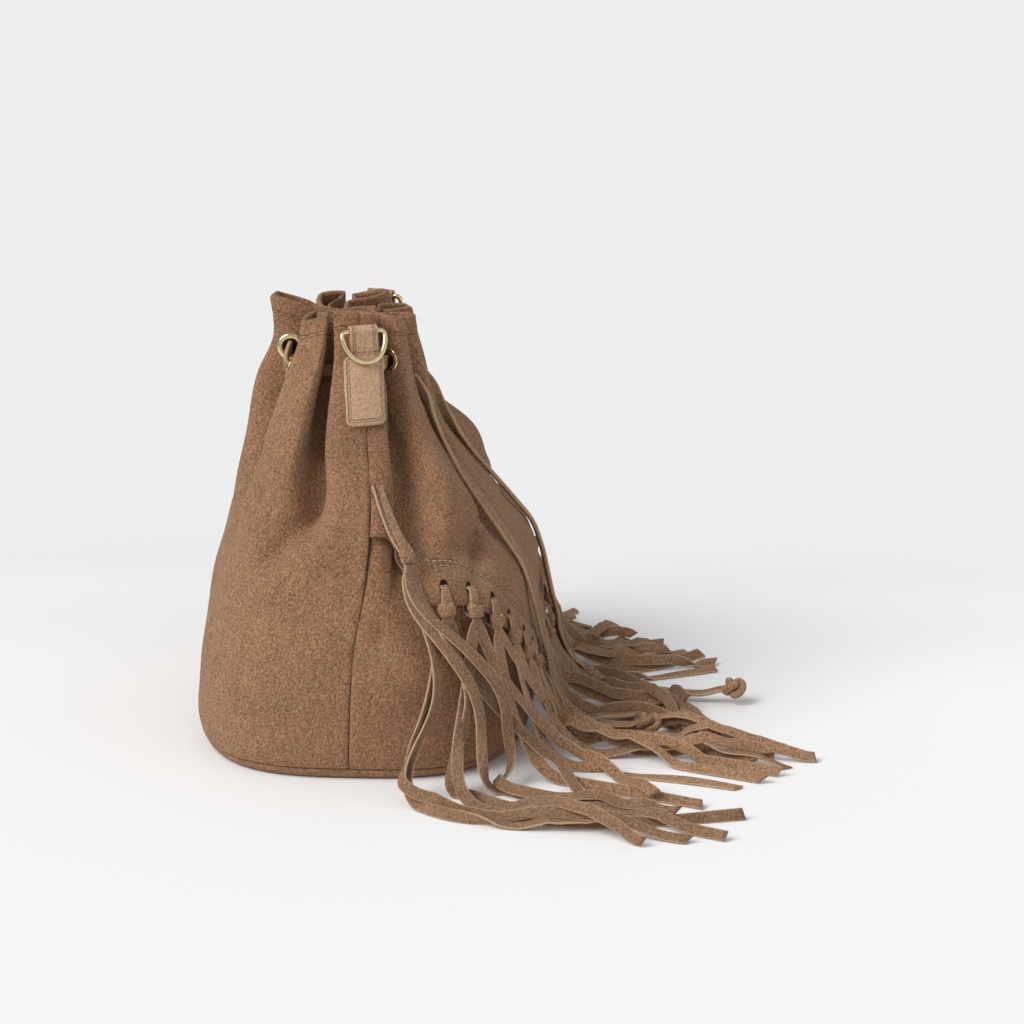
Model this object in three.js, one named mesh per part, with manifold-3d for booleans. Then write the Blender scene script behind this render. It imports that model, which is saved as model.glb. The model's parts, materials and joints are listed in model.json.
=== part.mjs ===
// A gathered suede bucket bag with a drawcord mouth and a laced fringe, in millimetres, +Z up.
// The front faces -Y, the base rests on z = 0, and the origin is the middle of the base.

import * as THREE from 'three';
import { mergeVertices } from 'three/addons/utils/BufferGeometryUtils.js';
import Module from 'manifold-3d';

const wasm = await Module();
wasm.setup();

// Leather and general clearance
const SUEDE = 1.7;
const GAP = 0.3;

// Outline of the standing bag: half width, rear reach and front reach against height
const HALF_WIDTH = [[0, 124], [40, 124], [85, 119], [115, 110], [140, 95], [175, 72], [200, 55], [228, 41]];
const REAR_REACH = [[0, 94], [55, 89], [102, 80], [147, 68], [187, 60], [215, 53], [231, 53]];
const FRONT_REACH = [[0, 89], [60, 88], [85, 85], [118, 67], [145, 47], [170, 32], [200, 25], [220, 22]];
const SQUARENESS = [[0, 3], [120, 2.7], [228, 2.2]];

// Rim height at the front, side and back
const RIM_FRONT = 218;
const RIM_BACK = 231;
const RIM_SIDE_LIFT = 3;
const HEM_DEPTH = 10.5;
const HEM_EXTRA = 1.2;

// Base tray
const BASE_HEIGHT = 6;
const BASE_PLATE = 3;
const BASE_ROUND = 3;
const BASE_LIP = 2;

// Where the leather between front centre (0), side seam (0.5) and back centre (1) ends up round the mouth
const MOUTH_TURN = [
  [0, 0], [0.13, 20], [0.25, 36], [0.37, 53], [0.5, 72],
  [0.63, 95], [0.73, 112], [0.83, 138], [0.93, 166], [1, 180],
];
const GATHER_START = 60;
const GATHER_END = 205;

// The gathers on one half of the bag. Each runs from its foot to the rim; the other half mirrors it.
const GATHERS = [
  { low: 0.13, top: 0.13, ahead: [0.09, 0.1], behind: [0.08, 0.085],
    depth: [[80, 0], [130, 7], [175, 17], [205, 20]] },
  { low: 0.445, top: 0.37, ahead: [0.06, 0.085], behind: [0.03, 0.06],
    depth: [[85, 0], [115, 5], [140, 13], [165, 19], [205, 22]] },
  { low: 0.6, top: 0.63, ahead: [0.035, 0.05], behind: [0.04, 0.055],
    depth: [[135, 0], [150, 6], [175, 13], [205, 12]] },
  { low: 0.83, top: 0.83, ahead: [0.07, 0.1], behind: [0.07, 0.1],
    depth: [[105, 0], [121, 6], [150, 14], [190, 22], [205, 24]] },
];

// Soft swells and dents: place round the half, height, reach both ways and how far they stand out
const SWELLS = [
  { at: 0.31, z: 141, spread: 0.09, tall: 16, out: 5 },
  { at: 0.28, z: 116, spread: 0.11, tall: 10, out: -5 },
];

// Flap edge over the lower front panel, with its row of lacing holes
const HOLE_LOW = 46;
const HOLE_RISE = 54;
const HOLE_RISE_START = 0.055;
const HOLE_RISE_END = 0.385;
const EDGE_BELOW_HOLES = 9;
const LAP = 21;
const FLARE = 2.5;
const SUNK = 2.15;
const HOLE_RADIUS = 3.2;
const HOLE_PITCH = 0.048;
const HOLES_EACH_SIDE = 8;

// Fringe laces
const LACE_WIDTH = 7;
const LACE_THICK = 1.3;
const LACE_NECK = 4;
const LACE_DROP = 11;
const KNOT_WIDE = 8.6;
const KNOT_TALL = 7;
const KNOT_DEEP = 4.6;
const KNOT_LIFT = 5.2;
const STRAND_LENGTH = 184;
const SEAM_LACE = 0.432;
const SEAM_LACE_TOP = 150;
const SEAM_LACE_KNOT = 118;
const SEAM_STRAND_LENGTH = 242;

// Eyelets and drawcord
const EYELET_HOLE = 4;
const EYELET_BARREL = 4.6;
const EYELET_FLANGE = 7;
const EYELET_SHEET = 0.7;
const EYELET_SIDES = 10;
const EYELETS = [
  { gather: 0, side: 1, z: 187 },
  { gather: 1, side: -1, z: 199 },
  { gather: 1, side: 1, z: 199 },
  { gather: 3, side: -1, z: 196 },
  { gather: 3, side: 1, z: 203 },
];
const CORD_WIDTH = 6.6;
const CORD_THICK = 2.4;
const CORD_SQUEEZED = 5.6;
const CORD_START = 6;
const KNOT_RADIUS = 7;
const KNOT_FLAT = 0.85;
const LACES_DEEP = 2.95;

// Rings of outline along the cord: round the mouth, down each end, and where an end turns flat
const RUN_RINGS = 48;
const END_RINGS = { left: 36, right: 32 };
const TURN_RINGS = 8;
// Fall of each drawcord end: place round the half, height and lift off the leather
const CORD_FALL = [
  [0.11, 184, 12.5], [0.115, 176, 16], [0.125, 166, 15.5], [0.13, 155, 12], [0.128, 142, 8],
  [0.126, 126, 5], [0.122, 108, 3.6], [0.118, 94, 3], [0.112, 80, 3.2],
  [0.104, 66, 4.6], [0.098, 54, 6.6], [0.092, 43, 9.2], [0.09, 32, 10.6], [0.088, 22, 14.5], [0.086, 14, 19],
  [0.085, 8.4, 26],
];
// Their runs on the ground, over the fringe, as x, y, z
const LEFT_FLOOR = [
  [-27, -126, 4.7], [-24, -137, 4.6], [-16, -145, 4.6], [-6, -150, 4.6], [-1, -158, 4.6], [-6, -167, 4.6],
  [-17, -169, 4.6], [-31, -163, 5.2], [-44, -154, 8],
];
const RIGHT_FLOOR = [
  [26, -126, 4.7], [23, -138, 4.6], [18, -150, 4.6], [14, -164, 4.6], [11, -178, 5.2], [10, -188, 8],
];

// Ring tab and D ring on each side seam
const TAB_WIDTH = 21;
const TAB_NECK = 15;
const TAB_THICK = 1.6;
const TAB_LIFT = 0.45;
const TAB_FOOT = 174;
const TAB_SHOULDER = 208;
const BAR_HEIGHT = 217;
const RING_INNER = 20;
const RING_REACH = 17;
const RING_WIRE = 2.6;
const RING_SIDES = 8;
const STRAP_ROOM = 0.4;

// Resolution of the shell
const ACROSS = 36;
const SEAM_SHARE = 0.0005;

const COLOURS = { suede: '#9b765a', lace: '#98775e', tab: '#b08d70', gold: '#dcc68c' };

function suede(colour) {
  return new THREE.MeshStandardMaterial({ color: colour, roughness: 0.95, metalness: 0 });
}

// A smooth curve through rising knots that never swings past them
function curveThrough(knots) {
  const slopes = knots.map((knot, i) => {
    if (i === 0 || i === knots.length - 1) return 0;
    const before = (knot[1] - knots[i - 1][1]) / (knot[0] - knots[i - 1][0]);
    const after = (knots[i + 1][1] - knot[1]) / (knots[i + 1][0] - knot[0]);
    return before * after <= 0 ? 0 : (2 * before * after) / (before + after);
  });
  return (x) => {
    const last = knots.length - 1;
    if (x <= knots[0][0]) return knots[0][1];
    if (x >= knots[last][0]) return knots[last][1];
    let i = 0;
    while (x > knots[i + 1][0]) i += 1;
    const span = knots[i + 1][0] - knots[i][0];
    const s = (x - knots[i][0]) / span;
    const rise = knots[i + 1][1] - knots[i][1];
    const keep = s * s * (3 - 2 * s);
    return knots[i][1] + rise * keep + span * s * (1 - s) * (slopes[i] * (1 - s) - slopes[i + 1] * s);
  };
}

// Angles must keep turning at the ends of the mouth curve, so it gets its own end slopes
function turnThrough(knots) {
  const [nearFront, nearBack] = [knots[1], knots[knots.length - 2]];
  const mirrored = [[-nearFront[0], -nearFront[1]], ...knots, [2 - nearBack[0], 360 - nearBack[1]]];
  return curveThrough(mirrored);
}

const halfWidth = curveThrough(HALF_WIDTH);
const rearReach = curveThrough(REAR_REACH);
const frontReach = curveThrough(FRONT_REACH);
const squareness = curveThrough(SQUARENESS);
const mouthTurn = turnThrough(MOUTH_TURN);
const gatherDepths = GATHERS.map((gather) => curveThrough(gather.depth));

const mix = (a, b, share) => a + (b - a) * share;
const ease = (s) => {
  const c = Math.min(1, Math.max(0, s));
  return c * c * (3 - 2 * c);
};

function gatheredShare(z) {
  return ease((z - GATHER_START) / (GATHER_END - GATHER_START));
}

function rimHeight(t) {
  const half = (RIM_BACK - RIM_FRONT) / 2;
  return RIM_FRONT + half * (1 - Math.cos(Math.PI * t)) + RIM_SIDE_LIFT * Math.sin(Math.PI * t) ** 2;
}

// Angle from the front, in radians: even spacing of the leather at the base, the mouth's own turn at the top
function turn(t, z) {
  const even = Math.PI * t + 0.05 * Math.sin(4 * Math.PI * t) + 0.075 * Math.sin(2 * Math.PI * t);
  return mix(even, THREE.MathUtils.degToRad(mouthTurn(t)), gatheredShare(z));
}

// Where a gather's valley runs at a height, and its reach ahead and behind
function valley(gather, z) {
  const share = gatheredShare(z);
  return {
    at: mix(gather.low, gather.top, share),
    ahead: mix(gather.ahead[0], gather.ahead[1], share),
    behind: mix(gather.behind[0], gather.behind[1], share),
  };
}

// How far the leather is drawn in from the outline: a half cosine well for each gather, less the swells
function drawnIn(t, z) {
  let inward = 0;
  GATHERS.forEach((gather, i) => {
    const { at, ahead, behind } = valley(gather, z);
    const reach = t < at ? ahead : behind;
    const s = Math.min(1, Math.abs(t - at) / reach);
    inward += gatherDepths[i](z) * 0.5 * (1 + Math.cos(Math.PI * s));
  });
  SWELLS.forEach((swell) => {
    const across = (t - swell.at) / swell.spread;
    const up = (z - swell.z) / swell.tall;
    inward -= swell.out * Math.exp(-across * across - up * up);
  });
  return inward;
}

// Point of the shell's outer face. u runs from 0 at the front centre to 0.5 at the right seam,
// 1 at the back centre and -0.5 at the left seam.
function shell(u, z) {
  const wrapped = u > 1 ? u - 2 : u;
  const t = Math.abs(wrapped);
  const angle = turn(t, z);
  const sin = Math.sin(angle);
  const cos = Math.cos(angle);
  const depth = (rearReach(z) + frontReach(z)) / 2;
  const middle = (rearReach(z) - frontReach(z)) / 2;
  const n = squareness(z);
  const outline = ((Math.abs(sin) / halfWidth(z)) ** n + (Math.abs(cos) / depth) ** n) ** (-1 / n);
  const radius = outline - drawnIn(t, z);
  return new THREE.Vector3(Math.sign(wrapped) * radius * sin, middle - radius * cos, z);
}

// Local frame of the shell: along the leather, up it, and straight out of it
function shellFrame(u, z) {
  const step = 0.002;
  const rise = 0.5;
  const along = shell(u + step, z).sub(shell(u - step, z)).divideScalar(2 * step);
  const up = shell(u, z + rise).sub(shell(u, z - rise)).normalize();
  const speed = along.length();
  along.normalize();
  const out = along.clone().cross(up).normalize();
  return { at: shell(u, z), along, up: out.clone().cross(along), out, speed };
}

function offShell(u, z, lift) {
  const { at, out } = shellFrame(u, z);
  return at.addScaledVector(out, lift);
}

function holeHeight(t) {
  const share = Math.min(1, Math.max(0, (t - HOLE_RISE_START) / (HOLE_RISE_END - HOLE_RISE_START)));
  return HOLE_LOW + HOLE_RISE * 0.5 * (1 - Math.cos(Math.PI * share));
}

function edgeHeight(t) {
  return holeHeight(t) - EDGE_BELOW_HOLES;
}

// The flap lifts off the lower panel from its stitch row down, to let the laces pass behind it
function flare(t, z) {
  return FLARE * (1 - ease((z - holeHeight(t) - 2) / (LAP - EDGE_BELOW_HOLES - 2)));
}

// The lower panel sinks behind the flap and comes back out below it
function sunk(t, z) {
  return SUNK * ease((z - edgeHeight(t) + 40) / 30);
}

function closedBody(points, faces) {
  const geometry = new THREE.BufferGeometry();
  geometry.setAttribute('position', new THREE.Float32BufferAttribute(points.flatMap((p) => p.toArray()), 3));
  geometry.setIndex(faces.flat());
  geometry.computeVertexNormals();
  return geometry;
}

// A closed wall between an outer and an inner grid: point(i, j, face) with face 0 outside and 1 inside
function wall(across, up, point) {
  const points = [];
  const faces = [];
  for (let face = 0; face < 2; face += 1) {
    for (let j = 0; j <= up; j += 1) {
      for (let i = 0; i <= across; i += 1) points.push(point(i, j, face));
    }
  }
  const id = (i, j, face) => (face * (up + 1) + j) * (across + 1) + i;
  const quad = (a, b, c, d) => faces.push([a, b, c], [a, c, d]);
  for (let j = 0; j < up; j += 1) {
    for (let i = 0; i < across; i += 1) {
      quad(id(i, j, 0), id(i + 1, j, 0), id(i + 1, j + 1, 0), id(i, j + 1, 0));
      quad(id(i, j, 1), id(i, j + 1, 1), id(i + 1, j + 1, 1), id(i + 1, j, 1));
    }
    quad(id(0, j, 0), id(0, j + 1, 0), id(0, j + 1, 1), id(0, j, 1));
    quad(id(across, j, 0), id(across, j, 1), id(across, j + 1, 1), id(across, j + 1, 0));
  }
  for (let i = 0; i < across; i += 1) {
    quad(id(i, 0, 0), id(i, 0, 1), id(i + 1, 0, 1), id(i + 1, 0, 0));
    quad(id(i, up, 0), id(i + 1, up, 0), id(i + 1, up, 1), id(i, up, 1));
  }
  return closedBody(points, faces);
}

// A closed strip or bar through rings of points, each ring turning the same way
function loft(rings, closed = false) {
  const count = rings[0].length;
  const points = rings.flat();
  const faces = [];
  const last = closed ? rings.length : rings.length - 1;
  for (let j = 0; j < last; j += 1) {
    const here = j * count;
    const next = ((j + 1) % rings.length) * count;
    for (let i = 0; i < count; i += 1) {
      const k = (i + 1) % count;
      faces.push([here + i, here + k, next + k], [here + i, next + k, next + i]);
    }
  }
  if (!closed) {
    const end = (rings.length - 1) * count;
    for (let i = 1; i < count - 1; i += 1) {
      faces.push([0, i + 1, i], [end, end + i, end + i + 1]);
    }
  }
  return closedBody(points, faces);
}

// Flat ribbon along a path; across gives its width direction at each point
function ribbon(path, across, widths, thick) {
  const rings = path.map((point, i) => {
    const before = path[Math.max(0, i - 1)];
    const after = path[Math.min(path.length - 1, i + 1)];
    const along = after.clone().sub(before).normalize();
    const side = across[i].clone().addScaledVector(along, -across[i].dot(along)).normalize();
    const face = along.clone().cross(side).normalize();
    const half = widths[i] / 2;
    return [[-half, -1], [half, -1], [half, 1], [-half, 1]].map(([w, f]) =>
      point.clone().addScaledVector(side, w).addScaledVector(face, (f * thick) / 2));
  });
  return loft(rings);
}

function asSolid(geometry) {
  const bare = geometry.clone();
  bare.deleteAttribute('normal');
  bare.deleteAttribute('uv');
  const merged = mergeVertices(bare, 1e-4);
  const vertProperties = new Float32Array(merged.attributes.position.array);
  const triVerts = new Uint32Array(merged.index.array);
  return new wasm.Manifold(new wasm.Mesh({ numProp: 3, vertProperties, triVerts }));
}

function asGeometry(solid) {
  const { vertProperties, triVerts } = solid.getMesh();
  const geometry = new THREE.BufferGeometry();
  geometry.setAttribute('position', new THREE.BufferAttribute(vertProperties, 3));
  geometry.setIndex(new THREE.BufferAttribute(triVerts, 1));
  geometry.computeVertexNormals();
  return geometry;
}

// Turns a geometry built along +Z so that +Z points along axis and its middle is at place
function placed(geometry, place, axis) {
  const turnTo = new THREE.Quaternion().setFromUnitVectors(new THREE.Vector3(0, 0, 1), axis);
  return geometry.clone().applyQuaternion(turnTo).translate(place.x, place.y, place.z);
}

function rod(radius, length, sides) {
  return new THREE.CylinderGeometry(radius, radius, length, sides).rotateX(Math.PI / 2);
}

// Each eyelet sits halfway up the flank of its gather, square to the leather
function eyeletSeats() {
  const seats = [];
  [-1, 1].forEach((hand) => {
    EYELETS.forEach(({ gather, side, z }) => {
      const { at, ahead, behind } = valley(GATHERS[gather], z);
      const t = at + 0.5 * (side < 0 ? -ahead : behind);
      const frame = shellFrame(hand * t, z);
      const middle = frame.at.clone().addScaledVector(frame.out, -SUEDE / 2);
      seats.push({ hand, t, z, gather, side, middle, axis: frame.out });
    });
  });
  return seats;
}

const SEATS = eyeletSeats();

// Clears the leather for the barrel and for both flanges of every eyelet on a panel
function cutEyelets(solid, seats) {
  const flangeRoom = EYELET_FLANGE + GAP;
  const press = SUEDE / 2 + 0.1;
  let panel = solid;
  seats.forEach(({ middle, axis }) => {
    panel = panel.subtract(asSolid(placed(rod(EYELET_BARREL + GAP, 8, EYELET_SIDES), middle, axis)));
    [-1, 1].forEach((face) => {
      const room = 3;
      const place = middle.clone().addScaledVector(axis, face * (press + room / 2));
      panel = panel.subtract(asSolid(placed(rod(flangeRoom, room, EYELET_SIDES), place, axis)));
    });
  });
  return panel;
}

function panelThickness(t, z) {
  return z > rimHeight(t) - HEM_DEPTH + 1 ? SUEDE + HEM_EXTRA : SUEDE;
}

const placeInHalf = (u) => Math.abs(u > 1 ? u - 2 : u);

function frontUpperPanel() {
  const bodyRows = 7;
  const up = 2 + bodyRows + 2;
  const point = (i, j, face) => {
    const u = mix(-0.5 + SEAM_SHARE, 0.5 - SEAM_SHARE, i / ACROSS);
    const t = placeInHalf(u);
    const edge = edgeHeight(t);
    const hem = rimHeight(t) - HEM_DEPTH;
    const lap = edge + LAP;
    const heights = [edge, edge + EDGE_BELOW_HOLES];
    for (let k = 0; k <= bodyRows; k += 1) heights.push(mix(lap, hem, k / bodyRows));
    heights.push(hem + 2, rimHeight(t));
    const z = heights[j];
    return offShell(u, z, flare(t, z) - face * panelThickness(t, z));
  };
  let panel = asSolid(wall(ACROSS, up, point));
  laceHoles().forEach(({ u, z }) => {
    const { at, out } = shellFrame(u, z);
    panel = panel.subtract(asSolid(placed(rod(HOLE_RADIUS, 8, 6), at, out)));
  });
  return asGeometry(cutEyelets(panel, SEATS.filter((seat) => seat.t < 0.5)));
}

function frontLowerPanel() {
  const wallRows = 3;
  const up = wallRows + 3;
  return wall(ACROSS, up, (i, j, face) => {
    const u = mix(-0.5 + SEAM_SHARE, 0.5 - SEAM_SHARE, i / ACROSS);
    const t = placeInHalf(u);
    const edge = edgeHeight(t);
    const foot = BASE_HEIGHT + GAP;
    const heights = [];
    for (let k = 0; k <= wallRows; k += 1) heights.push(mix(foot, edge - 10, k / wallRows));
    heights.push(edge, edge + EDGE_BELOW_HOLES, edge + LAP);
    const z = heights[j];
    return offShell(u, z, -sunk(t, z) - face * SUEDE);
  });
}

function backPanel() {
  const rows = 10;
  const foot = BASE_HEIGHT + GAP;
  const point = (i, j, face) => {
    const u = mix(0.5 + SEAM_SHARE, 1.5 - SEAM_SHARE, i / ACROSS);
    const t = placeInHalf(u);
    const hem = rimHeight(t) - HEM_DEPTH;
    const z = j <= rows ? mix(foot, hem, (j / rows) ** 0.9) : [hem + 2, rimHeight(t)][j - rows - 1];
    return offShell(u, z, -face * panelThickness(t, z));
  };
  const backSeats = SEATS.filter((seat) => seat.t > 0.5);
  return asGeometry(cutEyelets(asSolid(wall(ACROSS, rows + 2, point)), backSeats));
}

// Shallow tray: rounded under its edge, with a low lip that the walls stand on
function basePanel() {
  const steps = ACROSS;
  const ring = (inset, z) => {
    const loop = [];
    for (let i = 0; i < steps; i += 1) {
      const angle = (2 * Math.PI * i) / steps;
      const sin = Math.sin(angle);
      const cos = Math.cos(angle);
      const n = squareness(0);
      const depth = (rearReach(0) + frontReach(0)) / 2 - inset;
      const middle = (rearReach(0) - frontReach(0)) / 2;
      const width = halfWidth(0) - inset;
      const radius = ((Math.abs(sin) / width) ** n + (Math.abs(cos) / depth) ** n) ** (-1 / n);
      loop.push(new THREE.Vector3(radius * sin, middle - radius * cos, z));
    }
    return loop;
  };
  const rings = [ring(BASE_ROUND, 0), ring(BASE_ROUND * 0.3, BASE_ROUND * 0.3), ring(0, BASE_ROUND)];
  rings.push(ring(0, BASE_HEIGHT), ring(BASE_LIP, BASE_HEIGHT), ring(BASE_LIP, BASE_PLATE));
  return loft(rings);
}

function laceHoles() {
  const holes = [];
  for (let k = -HOLES_EACH_SIDE; k <= HOLES_EACH_SIDE; k += 1) {
    holes.push({ u: k * HOLE_PITCH, z: holeHeight(Math.abs(k) * HOLE_PITCH) });
  }
  return holes;
}

// Eyelet: a barrel through the leather with a flat flange on both faces
function eyelet({ middle, axis }) {
  const reach = SUEDE / 2 + 0.1 + GAP + EYELET_SHEET;
  const inside = reach - EYELET_SHEET;
  const profile = [
    [EYELET_HOLE, -reach], [EYELET_FLANGE, -reach], [EYELET_FLANGE, -inside], [EYELET_BARREL, -inside],
    [EYELET_BARREL, inside], [EYELET_FLANGE, inside], [EYELET_FLANGE, reach], [EYELET_HOLE, reach],
    [EYELET_HOLE, -reach],
  ].map(([r, z]) => new THREE.Vector2(r, z));
  const ring = new THREE.LatheGeometry(profile, EYELET_SIDES).rotateX(Math.PI / 2);
  return placed(ring, middle, axis);
}

// Band-like knot: a rounded block tied round both strands of a lace
function knotBlock(frame, centre) {
  const rings = [-1, -0.6, 0.6, 1].map((level) => {
    const pinch = Math.abs(level) === 1 ? 0.75 : 1;
    const wide = (KNOT_WIDE / 2) * pinch;
    const deep = (KNOT_DEEP / 2) * pinch;
    const corners = [[-1, -0.6], [0, -1], [1, -0.6], [1, 0.6], [0, 1], [-1, 0.6]];
    return corners.map(([a, d]) => centre.clone()
      .addScaledVector(frame.along, a * wide)
      .addScaledVector(frame.out, -d * deep)
      .addScaledVector(frame.up, (level * KNOT_TALL) / 2));
  });
  return loft(rings);
}

// The loop of a lace: up the face of the flap, through its hole and down behind the edge
function laceLoop(u, z) {
  const stops = [
    [-LACE_DROP + 2, KNOT_LIFT], [-1.8, 3.7], [0.1, 1.7],
    [-1.3, -1.1], [-10.6, -1.2], [-12.8, 3.6],
  ];
  const widths = [LACE_WIDTH, 5.4, LACE_NECK, LACE_NECK, LACE_WIDTH - 1.4, LACE_WIDTH];
  const { along } = shellFrame(u, z);
  const path = stops.map(([rise, lift]) => offShell(u, z + rise, lift));
  return ribbon(path, path.map(() => along), widths, LACE_THICK);
}

// The end laces run up and back to the side seam instead, doubled, where the seam holds them
function seamLoop(u, z) {
  const hand = Math.sign(u);
  const stops = [
    [u, z + 2, KNOT_LIFT], [hand * 0.448, z + 9, 3.6],
    [hand * 0.468, z + 19, 3.4], [hand * 0.484, SEAM_LACE_TOP, 2.1],
  ];
  const path = stops.map(([at, height, lift]) => offShell(at, height, lift));
  const across = path.map(() => shellFrame(u, z).along);
  return ribbon(path, across, [5, 4.4, 4, 3.6], 2 * LACE_THICK);
}

// Which way a strand runs once it lies on the ground, in degrees from the front towards its own side
function heading(k) {
  const n = Math.abs(k);
  return k < 0 ? 12 + 1.7 * n : 3 + 0.16 * n * n;
}

// One strand: down from its knot, clear of the leather, round onto the ground and away to the front
function strand(k, u, knotHeight, side, length) {
  const spread = [[knotHeight + 0.5, KNOT_LIFT - 0.4, 1.9]];
  const overEdge = edgeHeight(Math.abs(u)) - 2;
  if (knotHeight > overEdge + 15) spread.push([knotHeight - 12, 7, 3.9], [overEdge, FLARE + 5.6, 4]);
  const layer = side < 0 ? 0 : 1;
  const lie = LACE_THICK / 2 + 0.05 + layer * (LACE_THICK + GAP);
  spread.push([Math.max(24, knotHeight * 0.55), 7.6, 4], [13, 13.5, 4.2]);
  spread.push([4.6 + lie, 20, 4.2], [lie, 29, 4.2]);
  const path = spread.map(([z, lift, apart]) => {
    const frame = shellFrame(u, Math.max(z, BASE_HEIGHT));
    const flat = frame.out.clone().setZ(0).normalize();
    const point = frame.at.clone().addScaledVector(flat, lift).addScaledVector(frame.along, side * apart);
    point.z = z;
    return point;
  });
  const across = path.map(() => shellFrame(u, knotHeight).along.clone().setZ(0).normalize());
  const landing = path[path.length - 1];
  const outward = shellFrame(u, BASE_HEIGHT).out;
  const startAngle = Math.atan2(outward.x, -outward.y);
  const endAngle = THREE.MathUtils.degToRad(Math.sign(u || side) * heading(u === 0 ? side : k));
  let used = 0;
  for (let i = 1; i < path.length; i += 1) used += path[i].distanceTo(path[i - 1]);
  const legs = 3;
  const leg = (length - used) / legs;
  let point = landing;
  for (let i = 1; i <= legs; i += 1) {
    const angle = mix(startAngle, endAngle, ease((i + 0.4) / 2.4));
    const ahead = new THREE.Vector3(Math.sin(angle), -Math.cos(angle), 0);
    point = point.clone().addScaledVector(ahead, leg);
    path.push(point);
    across.push(new THREE.Vector3(Math.cos(angle), Math.sin(angle), 0));
  }
  const widths = path.map(() => LACE_WIDTH - 0.4);
  widths[0] = LACE_WIDTH / 2;
  return ribbon(path, across, widths, LACE_THICK);
}

function tassel(k) {
  const atSeam = Math.abs(k) > HOLES_EACH_SIDE;
  const u = atSeam ? Math.sign(k) * SEAM_LACE : k * HOLE_PITCH;
  const top = atSeam ? SEAM_LACE_KNOT : holeHeight(Math.abs(u));
  const knotHeight = atSeam ? top : top - LACE_DROP;
  const frame = shellFrame(u, knotHeight);
  const knot = knotBlock(frame, offShell(u, knotHeight, KNOT_LIFT));
  const loop = atSeam ? seamLoop(u, top) : laceLoop(u, top);
  const length = atSeam ? SEAM_STRAND_LENGTH : STRAND_LENGTH;
  let whole = asSolid(knot).add(asSolid(loop));
  [-1, 1].forEach((side) => {
    whole = whole.add(asSolid(strand(k, u, knotHeight, side, length)));
  });
  return asGeometry(whole);
}

// Local place of the ring bar: held off the leather by its loop of strap
function barSeat(hand) {
  const frame = shellFrame(hand * 0.5, BAR_HEIGHT);
  const along = new THREE.Vector3(frame.along.x, frame.along.y, 0).normalize();
  const out = along.clone().cross(frame.up).normalize();
  const up = out.clone().cross(along);
  const standOff = TAB_LIFT + TAB_THICK + GAP + RING_WIRE / 2 + STRAP_ROOM;
  const at = frame.at.clone().addScaledVector(out, standOff);
  const restLift = TAB_LIFT + TAB_THICK + GAP + RING_WIRE / 2 + 0.3;
  const rest = offShell(hand * 0.5, BAR_HEIGHT - 0.9 * RING_REACH, restLift);
  const hang = at.clone().sub(rest);
  hang.addScaledVector(along, -hang.dot(along)).normalize();
  return { at, along, out, up, hang };
}

// D ring: a straight bar and a bow hanging below it, lying on the tab
function dRing(hand) {
  const seat = barSeat(hand);
  const { at, along } = seat;
  const up = seat.hang;
  const out = along.clone().cross(up);
  const halfBar = (RING_INNER + RING_WIRE) / 2;
  const corner = 2.4;
  const outline = [[-halfBar + corner, 0], [halfBar - corner, 0], [halfBar - 0.7, -0.7], [halfBar, -corner]];
  const bowSteps = 10;
  for (let i = 1; i < bowSteps; i += 1) {
    const angle = (Math.PI * i) / bowSteps;
    outline.push([halfBar * Math.cos(angle), -corner - (RING_REACH - corner) * Math.sin(angle)]);
  }
  outline.push([-halfBar, -corner], [-halfBar + 0.7, -0.7]);
  const path = outline.map(([a, v]) => at.clone().addScaledVector(along, a).addScaledVector(up, v));
  const rings = path.map((point, i) => {
    const before = path[(i + path.length - 1) % path.length];
    const after = path[(i + 1) % path.length];
    const forward = after.clone().sub(before).normalize();
    const side = forward.clone().cross(out).normalize();
    const ring = [];
    for (let k = 0; k < RING_SIDES; k += 1) {
      const angle = (2 * Math.PI * k) / RING_SIDES;
      ring.push(point.clone()
        .addScaledVector(side, (RING_WIRE / 2) * Math.cos(angle))
        .addScaledVector(out, -(RING_WIRE / 2) * Math.sin(angle)));
    }
    return ring;
  });
  return loft(rings, true);
}

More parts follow.
